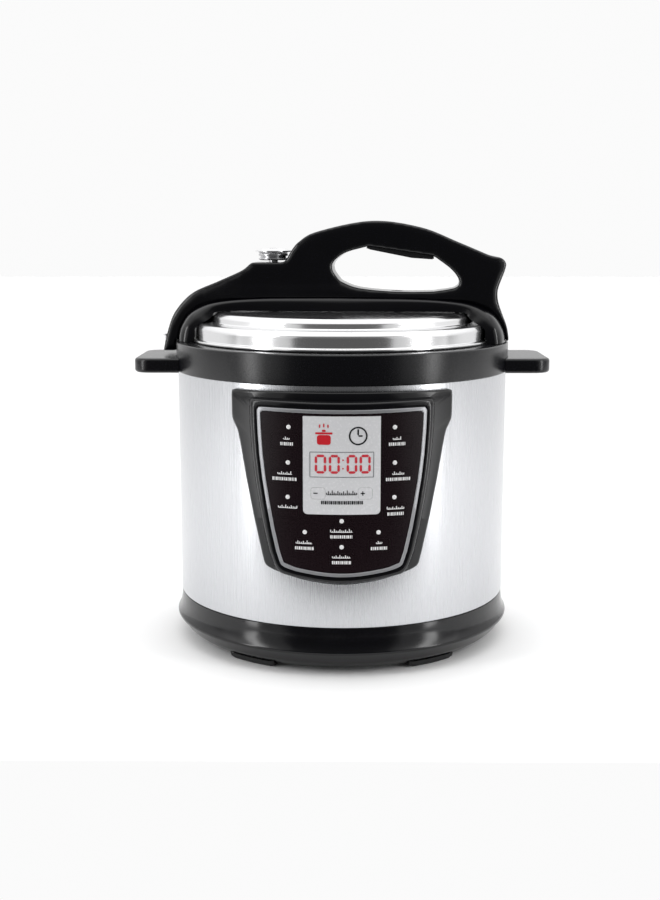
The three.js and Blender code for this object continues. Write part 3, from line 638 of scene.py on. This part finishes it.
def window_outline(inset):
    """The window of the panel drawn in by a given amount."""
    i = inset
    edge = [(-15, 86.6 + i), (0, 85.8 + i), (15, 86.6 + i), (34, 89.3 + i), (43 - i / 2, 91.6 + i)]
    low = smooth_line(edge, 6)[6:]
    corner = smooth_line([(45.6 - i / 2, 92.6 + i), (47.6 - 0.8 * i, 94.2 + i / 2), (48.8 - i, 97)], 4)
    side = [
        (51.4, 104.8), (55.6, 123.8), (59, 142.8), (62, 161.5), (64.2, 180.5), (65.5, 199), (65.9, 208.6),
        (66, 215),
    ]
    crown = [(65.9 - i, 216.8), (65 - i, 217.8), (63.6 - i, 218.2), (45, 217.8), (20, 217.3), (0, 217.2)]
    return mirrored(low + corner + [(x - i, z) for x, z in side] + [(x, z - i) for x, z in crown])


def ray_ring(outline, radius, count=240):
    """An outline as seen from the panel's middle, at even angles, laid on a radius about Z."""
    middle = Vector((0, 150))
    points = [Vector(p) - middle for p in outline]
    ring = []
    for i in range(count):
        angle = 2 * pi * i / count
        ray = Vector((cos(angle), sin(angle)))
        for a, b in zip(points, points[1:] + points[:1]):
            along = b - a
            cross = ray.x * along.y - ray.y * along.x
            if abs(cross) < 1e-9:
                continue
            reach = (a.x * along.y - a.y * along.x) / cross
            part = (a.x * ray.y - a.y * ray.x) / cross
            if reach > 0 and -1e-6 <= part <= 1 + 1e-6:
                x, z = ray * reach + middle
                ring.append((x, -sqrt(radius**2 - x**2), z))
                break
    return ring


def panel_frame():
    # Wings lie on the shell; the surround rises from them in a cove to the border.
    wings = [(0, 143.3), (0, 147.2), (0.5, 148.3), (1.5, 148.9)]
    cove = [
        (-6.7, 149.4), (-6.5, 150.4), (-6.0, 152.6), (-5.4, 154.4), (-4.4, 155.4), (-3.2, 155.7),
        (-0.9, 155.7), (-0.35, 155.4), (-0.35, 154.2), (4, 154.2), (4, 143.3),
    ]
    loops = [ray_ring(frame_outline(inset), radius) for inset, radius in wings]
    loops += [ray_ring(window_outline(inset), radius) for inset, radius in cove]
    piece("panel_surround", ring_of(loops), ABS, "housing", "panel_frame", sharp=50)


def panel_border():
    steps = [(0, 154.5), (0, 156.15), (0.35, 156.45), (2.35, 156.45), (2.7, 156.15), (2.7, 154.5)]
    loops = [ray_ring(window_outline(inset), radius) for inset, radius in steps]
    piece("panel_border", ring_of(loops), SILVER, "housing", "panel_trim")


KEYS = {}  # place across and up, width and height of each key
for side, hand in ((-1, "left"), (1, "right")):
    for row, (across, up, wide) in enumerate([(44, 192.6, 21), (44, 165.1, 21), (42, 137.6, 17)], 1):
        KEYS[f"key_{hand}_{row}"] = (side * across, up, wide, 11)
KEYS.update({
    "key_low_left": (-29.2, 110.6, 17, 10.5), "key_low_right": (29.2, 110.6, 17, 10.5),
    "key_middle_upper": (0, 120.4, 19, 10.5), "key_middle_lower": (0, 99.8, 19, 10.5),
    "key_minus": (-18.3, 152.4, 11, 9), "key_plus": (18.3, 152.4, 11, 9),
})
TIME_KEYS = ("key_minus", "key_plus")
LAMPS = [
    (-42.6, 203.6), (-43.2, 175.8), (-43.6, 148.6), (42.4, 203.6), (42.6, 175.8), (42.4, 148.6),
    (0, 130.6), (0, 109.9), (-29.2, 121.3), (29.2, 121.3),
]


def key_outline(name, grow=0.0):
    x, z, width, height = KEYS[name]
    return rounded_rectangle(x, z, width + 2 * grow, height + 2 * grow, 2.2 + grow)


def display_outline(grow=0.0):
    half, low, high, corner = 30 + grow, 135.7 - grow, 212.5 + grow, 3.4
    outline = []
    for x, z in rounded_rectangle(0, (low + high) / 2, 2 * half, high - low, corner):
        if z >= 170:  # the top corners are square
            x, z = max(-half, min(half, x * 1.2)), high if z > high - corner else z
        if not outline or hypot(x - outline[-1][0], z - outline[-1][1]) > 0.02:
            outline.append((x, z))
    return outline


def cutter(outline):
    """An outline drawn through all of the panel's films."""
    return wrapped(outline, 150, 160)


def panel_films():
    film = wrapped(window_outline(3.0), FILM_BACK, FILM_FACE)
    tools = [cutter(display_outline(KEY_GAP))]
    tools += [cutter(key_outline(name, KEY_GAP)) for name in KEYS if name not in TIME_KEYS]
    piece("panel_film", carved(film, *tools), FILM, "housing", "panel_overlay", sharp=45)
    pane = wrapped(display_outline(), FILM_BACK, FILM_FACE + 0.05)
    tools = [cutter(key_outline(name, KEY_GAP)) for name in TIME_KEYS]
    piece("display_pane", carved(pane, *tools), WHITE_FILM, "housing", "display_window", sharp=45)


def printed(name, outlines, material, body="housing", radius=DISPLAY_PRINT):
    """Marks printed on a film: thin raised outlines."""
    marks = [wrapped(outline, radius - 0.06, radius + 0.08, step=2.0) for outline in outlines]
    piece(name, joined(*marks), material, body)


def bar(x, z, width, height):
    return rounded_rectangle(x, z, width, height, min(width, height) * 0.3, steps=2)


STROKE_WIDTHS = (1.2, 0.7, 1.4, 0.9, 0.6, 1.3, 0.8)
SCRIPT_HEIGHTS = (0.45, 0.8, 0.35, 1.0, 0.5, 0.4, 0.9, 0.55)


def strokes(x, z, width, height, script=False):
    """A row of short upright strokes that stands where a caption would be; a script row sits on a line."""
    made, reach, i = [], -width / 2, 0
    while reach < width / 2 - 0.5:
        wide = 0.7 if script else STROKE_WIDTHS[i % 7]
        tall = height * (SCRIPT_HEIGHTS[(i + int(width)) % 8] if script else 1.0)
        made.append(bar(x + reach + wide / 2, z - height / 2 + tall / 2, wide, tall))
        reach += wide + (0.75 if script else 0.5)
        i += 1
    if script:
        made.append(bar(x, z - height / 2 - 0.1, width - 1, 0.5))
    return made


CAPTIONS = {  # of each key: sideways, up, width, height
    "key_left_1": [(1.4, 2.5, 5.5, 2.2), (1.4, -2.2, 10, 2.6)],
    "key_left_2": [(0, 2.6, 12, 2.2), (0, -2.3, 20, 2.6)],
    "key_left_3": [(0, 3.6, 15.4, 2.4)],
    "key_right_1": [(-1.2, 2.5, 7, 2.2), (-1.2, -2.2, 13, 2.6)],
    "key_right_2": [(0, 2.6, 10, 2.2), (0, -2.3, 19.6, 2.6)],
    "key_right_3": [(0, 2.8, 14, 2.2), (0, -2.2, 13, 2.6)],
    "key_low_left": [(0, 2.8, 13.5, 2.4), (0, -2.2, 14.5, 2.6)],
    "key_low_right": [(0, 2.8, 5, 2.2), (0, -2.2, 13, 2.6)],
    "key_middle_upper": [(0, 2.7, 17.8, 2.4), (0, -2.3, 17.8, 2.6)],
    "key_middle_lower": [(0, 2.7, 15, 2.4), (0, -2.3, 15, 2.6)],
}


def keys():
    for name, (x, z, _, _) in KEYS.items():
        base = WHITE_FILM if name in TIME_KEYS else FILM
        pad = wrapped(key_outline(name), 154.6, PRINT, step=2.5)
        piece(name + "_pad", pad, base, name, name, sharp=45)
        if name in TIME_KEYS:
            marks = [bar(x - 2, z, 3.4, 0.9)]
            if name == "key_plus":
                marks.append(bar(x - 2, z, 0.9, 3.4))
            printed(name + "_mark", marks, DARK_INK, name, PRINT)
        else:
            rows = [strokes(x + dx, z + dz, w, h, dz > 0) for dx, dz, w, h in CAPTIONS[name]]
            printed(name + "_mark", sum(rows, []), WHITE_INK, name, PRINT)


def lamps():
    lenses = []
    seat = FILM_FACE + 0.05
    for x, z in LAMPS:
        lens = turned([(0, -1.2), (1.75, -1.2), (1.75, 0.05), (1.1, 0.28), (0, 0.36)], steps=24)
        azimuth = atan2(x, 156)
        spun(spun(lens, pi / 2, "X"), azimuth)
        lenses.append(moved(lens, seat * sin(azimuth), -seat * cos(azimuth), z))
    piece("lamp_lenses", joined(*lenses), WHITE_INK, "housing")


def segment(x0, z0, x1, z1, width=1.9):
    """One pointed bar of a digit, between two ends."""
    along = Vector((x1 - x0, z1 - z0)).normalized()
    across = Vector((-along.y, along.x)) * width / 2
    a, b = Vector((x0, z0)) + along * 0.35, Vector((x1, z1)) - along * 0.35
    tip = along * width / 2
    return [tuple(p) for p in (a, a + tip - across, b - tip - across, b, b - tip + across, a + tip + across)]


def display_marks():
    segments = []
    low, high = 169.0, 181.8
    middle = (low + high) / 2
    for left, right in ((-19.9, -12.9), (-9.0, -2.4), (4.7, 11.0), (14.7, 21.4)):
        corners = [(left, low), (right, low), (right, middle), (right, high), (left, high), (left, middle)]
        segments += [segment(*a, *b) for a, b in zip(corners, corners[1:] + corners[:1])]
    segments += [rounded_rectangle(0.95, z, 1.1, 1.1, 0.4) for z in (172.0, 178.6)]
    printed("display_digits", segments, LED)
    x, low, high, line = 24.6, 165.2, 184.7, 0.45
    border = [bar(0, z, 2 * x, line) for z in (low, high)]
    border += [bar(edge, (low + high) / 2, line, high - low) for edge in (-x, x)]
    printed("display_frame_lines", border, GREY_INK)
    captions = strokes(0, 153.2, 24, 3.4, True) + strokes(0, 145.2, 32, 2.8)
    clock = [segment(12.6, 197.4, 12.6, 203.2, 1.2), segment(12.3, 197.4, 16.6, 197.4, 1.2)]
    printed("display_captions", captions + clock, DARK_INK)
    piece("display_clock_dial", ring_mark((12.6, 197.4), 7.2, 6.0), DARK_INK, "housing")
    pot = [rounded_rectangle(-13.8, 194.3, 10.6, 7.6, 2), bar(-13.8, 199.4, 13.2, 1.5)]
    pot.append(bar(-13.8, 201.4, 2.8, 1.6))
    steam = ((-17.0, 203.2, 206.8), (-13.8, 203.6, 207.4), (-10.6, 203.2, 206.8))
    pot += [segment(x, low, x, high, 1.0) for x, low, high in steam]
    printed("display_pot_sign", pot, RED_INK)


def ring_mark(centre, outer, inner):
    """A thin printed ring on the film."""
    loops = []
    low, high = FILM_FACE, FILM_FACE + 0.2
    for radius, level in ((outer, low), (outer, high), (inner, high), (inner, low)):
        loops.append([(x, -sqrt(level**2 - x**2), z) for x, z in circle(*centre, radius, 40)])
    return ring_of(loops, 0.002)


# ---------------------------------------------------------------- back of the body
def mains_inlet():
    flange = box_shape((-19, 19), (143.8, 147), (46, 80), 1.0)
    tub = box_shape((-14.6, 14.6), (125, 145.5), (50.4, 75.6), 0.5)
    outline = [(-11.5, 53.5), (11.5, 53.5), (11.5, 68), (6.5, 73), (-6.5, 73), (-11.5, 68)]
    body = joined(*(carved(part, raised(outline, 127, 160, axis="y")) for part in (flange, tub)))
    piece("mains_inlet_moulding", body, SATIN, "housing", "mains_inlet")
    screws = []
    for side in (-1, 1):
        screw = turned([(0, 0), (2.6, 0, 0.3), (2.2, 1.2, 0.3), (0, 1.4)], 24)
        screws.append(moved(spun(screw, -pi / 2, "X"), side * 15.4, 146.6, 63))
    piece("mains_inlet_screws", joined(*screws), TURNED, "housing")
    places = [(-6.5, 57.5), (0, 62), (6.5, 57.5)]
    blades = [box_shape((x - 1, x + 1), (126, 141), (z - 2, z + 2), 0.35) for x, z in places]
    piece("mains_inlet_blades", joined(*blades), TURNED, "housing")


def cup_shape(outset, low, back, inner):
    """The condensate cup's outline swept from the shell outwards."""
    outline = rounded_rectangle(0, (low + 198) / 2, 56 - 2 * outset, 198 - low, 5)
    block = raised(outline, 130, back, 2.4, axis="y")
    return carved(block, cylinder(inner, 120, 220))


def condensate_cup():
    outside = cup_shape(0, 150, 156.5, 143.7)
    inside = cup_shape(1.8, 151.8, 154.7, 145.4)
    bmesh.ops.translate(inside, verts=[v for v in inside.verts if v.co.z > 190], vec=(0, 0, 14))
    made = carved(outside, inside)
    piece("condensate_cup_moulding", made, CLEAR, "condensate_cup", "condensate_cup", sharp=45)


def keep_cad(node, material):
    """A solid of the model whose shape is already right, with its finish."""
    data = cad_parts[node].data
    data.materials.clear()
    data.materials.append(material)


# ---------------------------------------------------------------- lid
LID_SEAT = 258.9  # level of the lid's lip on the top ring


def lid_cover():
    # Deep-drawn cover: rolled lip, lower tier, groove, upper tier, nearly flat top.
    section = [
        (129, 258.9, 0.3), (130.5, 259.1, 0.6), (130.5, 261.3, 0.9), (127.4, 261.4, 0.8), (127.1, 270.4, 1.6),
        (124.2, 274.2, 1.5), (113.6, 275.3, 1.0), (112.6, 280.4, 1.6), (108.6, 283.5, 1.6), (60, 284),
        (0, 284), (0, 282.8), (108, 282.3), (111.2, 279.8), (111.4, 274.4), (123.8, 272.8), (125.8, 269.6),
        (126, 260.1),
    ]
    lid_piece("lid_cover_steel", turned(section, 180), POLISHED, "lid", "lid_cover", sharp=50)


BRIDGE_TOP = [
    (0, 297), (60, 296.2), (92, 294.4), (112, 291.6), (124, 287.6), (133.5, 281), (139.4, 272),
    (141.8, 264.5), (142.3, LID_SEAT),
]
BRIDGE_UNDER = [
    (0, 284.5), (60, 284.5), (92, 284.4), (109.4, 283.6), (115, 279), (121, 275.6), (128.4, 270.8),
    (129.4, 264.5), (131.2, LID_SEAT),
]
BRIDGE_HALF = [21.5, 22, 23.5, 27.5, 31.5, 35.5, 38.5, 40, 40.5]


def bridge_cover():
    # A saddle across the lid: a rounded band over the top that widens into two arms round its side.
    steps = 5
    outer, under = smooth_line(BRIDGE_TOP, steps), smooth_line(BRIDGE_UNDER, steps)
    half = [w for w, _ in smooth_line([(w, i * 10.0) for i, w in enumerate(BRIDGE_HALF)], steps)]
    edge = [(0.45, 0), (0.8, 0.03), (0.93, 0.13), (0.985, 0.32), (1.0, 0.6), (1.0, 1.0), (0.5, 1.0)]
    profile = [(0, 0), *edge, (0, 1.0), *((-share, depth) for share, depth in reversed(edge))]
    loops = []
    for side in (-1, 1):
        run = []
        for (a, z), (b, low), w in zip(outer, under, half):
            flare = 3.5 * max(0.0, 1 - a / 110)
            bend = min(1.0, max(0.0, (a - 60) / 60))
            loop = []
            for share, depth in profile:
                y = share * (w + flare * depth)
                x = a + (b - a) * depth
                level = z + (low - z) * depth
                if x > abs(y):
                    x -= bend * (x - sqrt(x * x - y * y))
                loop.append((side * x, side * y, level))
            run.append(loop)
        loops = loops + run[1:] if side == 1 else run[::-1]
    lid_piece("lid_bridge", lofted(loops), ABS, "lid", "bridge_cover", sharp=55)


VALVE = (-60, 0)
FLOAT = (48, 0)


def handle_side():
    """Side view of the handle: fin, left spine, valve boss, loop, horn and right spine."""
    left = smooth_line([
        (-156.5, 249), (-152, 267), (-145.3, 283), (-130, 299), (-107, 309.3), (-86, 318.6), (-78.5, 324.6),
    ], 7)
    boss = [(-76.5, 325.6), (-62, 325.6), (-49.5, 325.6)]
    loop = smooth_line([
        (-46.6, 328.6), (-43.2, 335), (-36, 343.4), (-20, 352), (26, 361), (68, 355.6), (100, 343.2),
        (127, 331.9),
    ], 7)
    horn = smooth_line([
        (133, 330.6), (137.6, 329.4), (141, 325), (139.6, 318), (134.4, 303), (134.8, 293), (138.6, 282),
        (142.8, 271), (144.7, LID_SEAT),
    ], 6)
    under = [(x, z - 1.5) for x, z in reversed(BRIDGE_TOP[1:-1])]
    under_left = [(-x, z) for x, z in reversed(under)]
    under = [(141, LID_SEAT), *under, (0, 295.5), *under_left, (-141, LID_SEAT)]
    return left + boss + loop + horn + under + [(-144.9, LID_SEAT), (-144.9, 249)]


def hand_hole():
    start = smooth_line([(-7.5, 319), (-6.5, 326), (3.4, 333.8), (20, 338.6)], 8)
    top = [(24, 339.4), (79, 331.4)]
    end = smooth_line([(82, 329.4), (95, 319.6), (101.4, 310.2), (98, 304.6), (80, 301.4)], 8)
    floor = smooth_line([(62, 301.0), (40, 301.6), (14, 304.4), (-1, 310)], 6)
    return start + top + end + floor


def softened(mesh, voxel, passes):
    """The shape as an even skin whose edges are worn round, mostly across its width."""
    skin = through_modifier(mesh, kind="REMESH", mode="VOXEL", voxel_size=voxel, adaptivity=0.0)
    for every_way in (True,) * 4 + (False,) * passes:
        bmesh.ops.smooth_vert(
            skin, verts=skin.verts[:], factor=0.5, use_axis_x=every_way, use_axis_y=True, use_axis_z=every_way
        )
    return skin


def handle_shell():
    # One moulding: it is drawn from the side, its edges are worn round, and it narrows at the fin and horn.
    block = raised(handle_side(), -18.5, 18.5, axis="y")
    block = carved(block, raised(hand_hole(), -40, 40, axis="y"))
    skin = softened(block, 1.5, 34)
    for vert in skin.verts:
        x, z = vert.co.x, vert.co.z
        narrow = 1.0
        if x < -86:
            narrow = 1 - 0.24 * min(1, (-86 - x) / 60)
        if x > 118:
            narrow = 1 - 0.14 * min(1, (x - 118) / 20)
        vert.co.y *= narrow
        flare = max(0.0, 1 - (z - 294) / 14) if abs(x) < 120 and z < 308 else 0.0
        vert.co.y *= 1 + 0.16 * flare * (1 - min(1, abs(x) / 120) ** 3)
    ring = cylinder(145.2, 235, LID_SEAT)
    notch = box_shape((-170, -152.6), (-7, -1), (252, 268), 0)
    bores = [raised(circle(*place, radius), 285, high) for place, radius, high in (
        (VALVE, 6, 340), (FLOAT, 5.2, 306), ((-100, 0), 2.4, 303), ((100, 0), 2.4, 303),
    )]
    shell = carved(skin, ring, notch, *bores)
    lid_piece("loop_handle", shell, ABS, "lid", "handle_shell", sharp=60)


def grip_insert():
    outline = [
        (24.6, 341.2), (21.6, 338), (25, 336.6), (60.6, 329.6), (78.2, 328.4), (79.6, 329.2), (78.6, 333.8),
    ]
    lid_piece("grip_insert", raised(outline, -14.6, 14.6, 1.2, axis="y"), GRIP, "lid", "handle_grip")


def valve_pieces():
    weight = [
        (0, 331.6), (4.6, 331.6), (4.6, 327.3), (11.2, 327.3, 0.4), (12.8, 328.0, 0.3), (12.8, 329.0, 0.3),
        (11.2, 329.6), (11.2, 330.6), (12.8, 331.2, 0.3), (12.8, 332.6, 0.4), (12.2, 333.4), (3, 333.4),
        (3, 335.2), (0, 335.2),
    ]
    cap = [
        (0, 335.6), (3.4, 335.6), (3.4, 333.7), (12.6, 333.7), (15.6, 334.5, 0.3), (15.6, 335.7, 0.3),
        (12, 336.6, 0.4), (10.5, 337.4, 0.4), (4, 337.4), (3, 337.8), (0, 337.8),
    ]
    pipe = [
        (1.2, 254.6), (8, 254.6, 0.4), (8, 257.1), (5, 257.1), (5, 267.5), (4, 268.5), (4, 330),
        (3, 331, 0.3), (1.2, 331),
    ]
    screen = turned([
        (0, 245), (11, 245, 0.8), (12.5, 246.5, 0.5), (12.5, 254.3), (11.3, 254.3), (11.3, 247),
        (10.6, 246.2), (0, 246.2),
    ], 72)
    slots = [box_shape((-15, 15), (-1.5, 1.5), (248.2, 252.2), 0) for _ in range(3)]
    screen = carved(screen, *(spun(slot, radians(60 * i)) for i, slot in enumerate(slots)))
    float_pin = [
        (0, 250), (6, 250, 0.5), (6, 252.2, 0.3), (2.8, 252.2), (2.8, 296), (4.4, 296, 0.3),
        (4.4, 299.6, 0.5), (0, 300),
    ]
    gasket = [(3.1, 252.5), (6, 252.5), (6.4, 253.5, 0.4), (5.4, 254.4, 0.3), (3.1, 254.4)]
    hanger = [(0, 249.4), (1.2, 249.4), (1.2, 261.2), (2.4, 261.6, 0.2), (2.4, 263, 0.4), (0, 263.4)]
    for made in (
        ("limiter_weight_turned", turned(weight, 72, VALVE), TURNED, "limiter_weight", "limiter_weight"),
        ("limiter_cap_pressed", turned(cap, 72, VALVE), POLISHED, "limiter_cap", "limiter_cap"),
        ("vent_pipe_turned", turned(pipe, 48, VALVE), TURNED, "lid", "vent_pipe"),
        ("anti_block_screen", moved(screen, *VALVE), PRESSED, "lid", "anti_block_cap"),
        ("float_valve_pin", turned(float_pin, 48, FLOAT), TURNED, "float_valve", "float_valve"),
        ("float_gasket_ring", turned(gasket, 48, FLOAT), SILICONE, "float_valve", "float_gasket"),
        ("hanger_pin_steel", turned(hanger, 32, (-155.2, -4)), TURNED, "lid", "lid_hanger_pin"),
    ):
        lid_piece(*made)


def lug_ring(section, reach, low, high, centres):
    """A turned section with short lugs that stand out to a given radius."""
    shapes = [turned(section)]
    root, tip = reach
    for centre in centres:
        loops = []
        for step in range(9):
            spread = -1 + step / 4
            soft = 0.6 if abs(spread) > 0.95 else 0.0
            end = tip - soft if tip > root else tip + soft
            lug = [(root, low), (end, low), (end, high), (root, high)]
            loops.append(section_at(radians(centre + 12 * spread), lug))
        shapes.append(lofted(loops))
    return joined(*shapes)


def pressure_lid():
    section = [
        (0, 259.8), (60, 258.2), (97, 254.8, 2), (101.8, 251, 1.5), (103.3, 244), (104, 239.3, 1),
        (117.5, 239.3, 0.6), (117.5, 242.3, 0.6), (108, 242.3), (105.5, 245), (104, 252), (98, 257),
        (60, 260.5), (0, 262),
    ]
    mesh = lug_ring(section, (116.6, 122.5), 239.4, 242.2, range(0, 360, 60))
    piece("pressure_lid_steel", mesh, PRESSED, "lid", "pressure_lid", sharp=50)
    ring = [
        (107, 232.4, 0.5), (112, 232.9), (116.4, 232.4, 0.5), (117, 234, 0.5), (115.6, 236.2),
        (117, 238.9, 0.4), (107, 238.9, 0.5), (108.2, 235.6),
    ]
    piece("sealing_ring_silicone", turned(ring), SILICONE, "lid_seal", "sealing_ring")
    band = [(104.4, 234), (106.2, 234, 0.3), (106.2, 238.6, 0.3), (104.4, 238.6, 0.3)]
    piece("seal_support_steel", turned(band), PRESSED, "lid_seal", "seal_support_ring")


# ---------------------------------------------------------------- pots and rack
def outer_pot():
    section = [
        (16, 58), (108, 58, 4), (122.5, 70, 4), (122.5, 229), (125.8, 232), (125.8, 247.3), (138, 247.3),
        (138, 249.3), (124, 249.3, 0.8), (124, 232.5, 1), (121, 229.5, 1), (121, 71, 4), (107.5, 60, 3),
        (16, 60),
    ]
    mesh = lug_ring(section, (124.8, 118.7), 243.6, 247.3, range(30, 390, 60))
    piece("outer_pot_steel", mesh, PRESSED, "housing", "outer_pot", sharp=50)


def heater():
    section = [
        (14, 60.4), (84, 60.4), (88, 64), (88, 71.2, 0.8), (84, 71.9), (60, 71.9), (59.2, 71.4), (58.4, 71.9),
        (34, 71.9), (33.2, 71.4), (32.4, 71.9), (14, 71.9, 0.5),
    ]
    piece("heating_plate_casting", turned(section), CAST, "housing", "heating_plate")
    plunger = [(0, 71.9), (11.5, 71.9, 0.6), (12.5, 70.9), (12.5, 63, 0.3), (4, 63), (4, 36), (0, 36)]
    piece("sensor_cap", turned(plunger, 64), BUFFED, "sensor", "sensor_plunger")


def cooking_pot():
    section = [
        (0, 72.2), (88, 72.2, 4), (104, 78, 5), (109.5, 92, 6), (109.5, 166.5, 2), (110.6, 170, 1.4),
        (112.5, 173, 2), (112.5, 229.4, 0.6), (111.8, 231.6), (110.5, 231.6), (110.5, 173.4),
        (109.6, 172.9, 0.4), (107.5, 172.9, 1.2), (107.5, 93, 6), (102.6, 79.8, 5), (88, 74.2, 4), (0, 74.2),
    ]
    piece("cooking_pot_body", turned(section, 160), COPPER, "pot", "inner_pot", sharp=50)
    rim = [(110.5, 231.65), (111.6, 229.4), (118.2, 229.9, 0.6), (117.6, 232, 0.7), (111, 232.2)]
    piece("cooking_pot_rim", turned(rim, 160), BUFFED, "pot", sharp=50)
    marks = []
    for level, length in ((104, 10), (122, 16), (140, 10), (158, 16), (190, 10), (208, 16)):
        wall = 107.5 if level < 173 else 110.5
        line = [(wall + 0.3, level - 0.5), (wall - 0.25, level - 0.3)]
        line += [(wall - 0.25, level + 0.3), (wall + 0.3, level + 0.5)]
        angles = [radians(100) + (step / 4 - 1) * (length / 2) / wall for step in range(9)]
        marks.append(lofted([section_at(angle, line) for angle in angles]))
    piece("cooking_pot_level_lines", joined(*marks), BUFFED, "pot")


def steam_rack():
    z = 173.3  # seat on the pot's step
    plate = turned([
        (0, z + 2.2), (24, z + 2.2, 1.5), (28, z + 5.2, 1.5), (98, z + 5.2, 2), (104.5, z, 2),
        (109.8, z, 0.6), (109.8, z + 2, 0.7), (105.4, z + 1.4, 1), (98.6, z + 6.2, 2),
        (27.4, z + 6.2, 1.5), (23.4, z + 3.2, 1.5), (0, z + 3.2),
    ], 160)
    spots = [(0, 0, 8, 32)]  # each hole: across, back, radius and facets
    for i in range(6):
        angle = radians(60 * i)
        spots.append((16 * cos(angle), 16 * sin(angle), 3, 18))
    for sector in range(6):
        middle = radians(30 + 60 * sector)
        for radius, count in ((43, 2), (58, 3), (73, 4), (88, 4)):
            for i in range(count):
                angle = middle + (i - (count - 1) / 2) * 15.5 / radius
                spots.append((radius * cos(angle), radius * sin(angle), 4.2, 18))
    plate = carved(plate, *(raised(circle(*spot), z - 2, z + 12) for spot in spots))
    outline = rounded_rectangle(62, 0, 68, 5, 2.4)
    ribs = [spun(raised(outline, z + 5.6, z + 7.4, 0.9), radians(60 * i)) for i in range(6)]
    ribs.append(turned([(33.5, z + 6), (34.2, z + 7.2, 0.4), (35.8, z + 7.2, 0.4), (36.5, z + 6)]))
    ribs.append(turned([(94, z + 6), (94.6, z + 6.9, 0.3), (95.8, z + 6.9, 0.3), (96.4, z + 6)]))
    piece("steam_rack_plate", plate, PRESSED, "rack", "steam_rack", sharp=40)
    piece("steam_rack_ribs", joined(*ribs), PRESSED, "rack")


# ---------------------------------------------------------------- stage
def shown(name, data):
    """A new object in the scene."""
    made = bpy.data.objects.new(name, data)
    bpy.context.scene.collection.objects.link(made)
    return made


def stage():
    # A sheet of paper that ends just in front of the cooker, so its steel reflects the room's dim side.
    sheet = flat_face([(-4, -0.31), (4, -0.31), (4, 9), (-4, 9)])
    data = bpy.data.meshes.new("floor")
    sheet.to_mesh(data)
    paper = surface("paper_backdrop", "#FDFDFD", 0.9)
    vary_roughness(paper, noise(paper, scaled_place(paper, 0.02)), 0.85, 0.95)
    data.materials.append(paper)
    floor = shown("floor", data)
    floor.location.z = -0.0002


def softbox(name, place, width, height, radiance):
    """An area light that faces the middle of the cooker."""
    light = bpy.data.lights.new(name, "AREA")
    light.shape = "RECTANGLE"
    light.size, light.size_y = width, height
    light.energy = radiance * pi * width * height
    lamp = shown(name, light)
    lamp.location = place
    lamp.rotation_euler = (Vector(place) - Vector((0, 0, 0.2))).to_track_quat("Z", "Y").to_euler()


def studio():
    # A pale room behind and above, dim in front of the cooker, where only the softboxes light it.
    world = bpy.data.worlds.new("studio")
    world.use_nodes = True
    tree = world.node_tree
    heading = add(world, "ShaderNodeTexCoord").outputs["Generated"]

    def along(direction, start, end, dim, bright):
        towards = add(world, "ShaderNodeVectorMath", {"operation": "DOT_PRODUCT"}, in0=heading, in1=direction)
        spread = add(
            world, "ShaderNodeMapRange", {"interpolation_type": "SMOOTHSTEP"}, Value=towards.outputs["Value"],
            From_Min=start, From_Max=end, To_Min=dim, To_Max=bright,
        )
        return spread.outputs["Result"]

    strength = add(
        world, "ShaderNodeMath", {"operation": "MULTIPLY"},
        in0=along((0, 1, 0.8), -0.2, 0.3, 0.12, 1.0), in1=along((0, 0, 1), 0.1, 0.6, 0.96, 1.35),
    )
    to_camera = add(world, "ShaderNodeLightPath").outputs["Is Camera Ray"]
    seen = add(world, "ShaderNodeMix", Factor=to_camera, in2=strength.outputs[0], in3=0.98)
    background = tree.nodes["Background"]
    tree.links.new(seen.outputs[0], background.inputs["Strength"])
    background.inputs["Color"].default_value = colour("#FDFDFD")
    bpy.context.scene.world = world
    for side, name in ((-1, "left"), (1, "right")):
        softbox(name + "_softbox", (side * 1.35, -0.75, 0.45), 1.4, 1.5, 0.6)
        softbox(name + "_strip", (side * 1.15, -0.66, 0.45), 0.2, 1.3, 7.0)
    softbox("top_softbox", (0, 0.1, 1.5), 1.8, 1.2, 0.6)


def camera():
    data = bpy.data.cameras.new("camera")
    data.lens, data.sensor_width = 51.6, 36
    viewer = shown("camera", data)
    viewer.location = (0, -1.1324, 0.3526)
    viewer.rotation_euler = (radians(80.35), 0, radians(0.53))
    bpy.context.scene.camera = viewer
    bpy.context.scene.view_settings.view_transform = "Standard"


# ---------------------------------------------------------------- the cooker
base_shell()
bottom_plate()
foot("foot_front_left", 235.5)
foot("foot_front_right", 304.5)
foot("foot_rear_left", 124.5)
foot("foot_rear_right", 55.5)
body_shell()
top_ring()
side_handle(-1, "side_handle_left")
side_handle(1, "side_handle_right")
panel_frame()
panel_border()
panel_films()
keys()
lamps()
display_marks()
mains_inlet()
condensate_cup()
lid_cover()
bridge_cover()
handle_shell()
grip_insert()
valve_pieces()
pressure_lid()
outer_pot()
heater()
cooking_pot()
steam_rack()
for kept, made_of in {
    "bottom_screw_1": TURNED, "bottom_screw_2": TURNED, "heat_shield": ZINC, "sensor_spring": TURNED,
    "spring_plate": PRESSED, "pressure_switch": RESIN, "power_board": BOARD, "control_board": BOARD,
    "display_module": RESIN, "cup_bracket": SATIN, "handle_screw_left": TURNED,
    "handle_screw_right": TURNED, "vent_nut": TURNED,
}.items():
    keep_cad(kept, made_of)

stage()
studio()
camera()
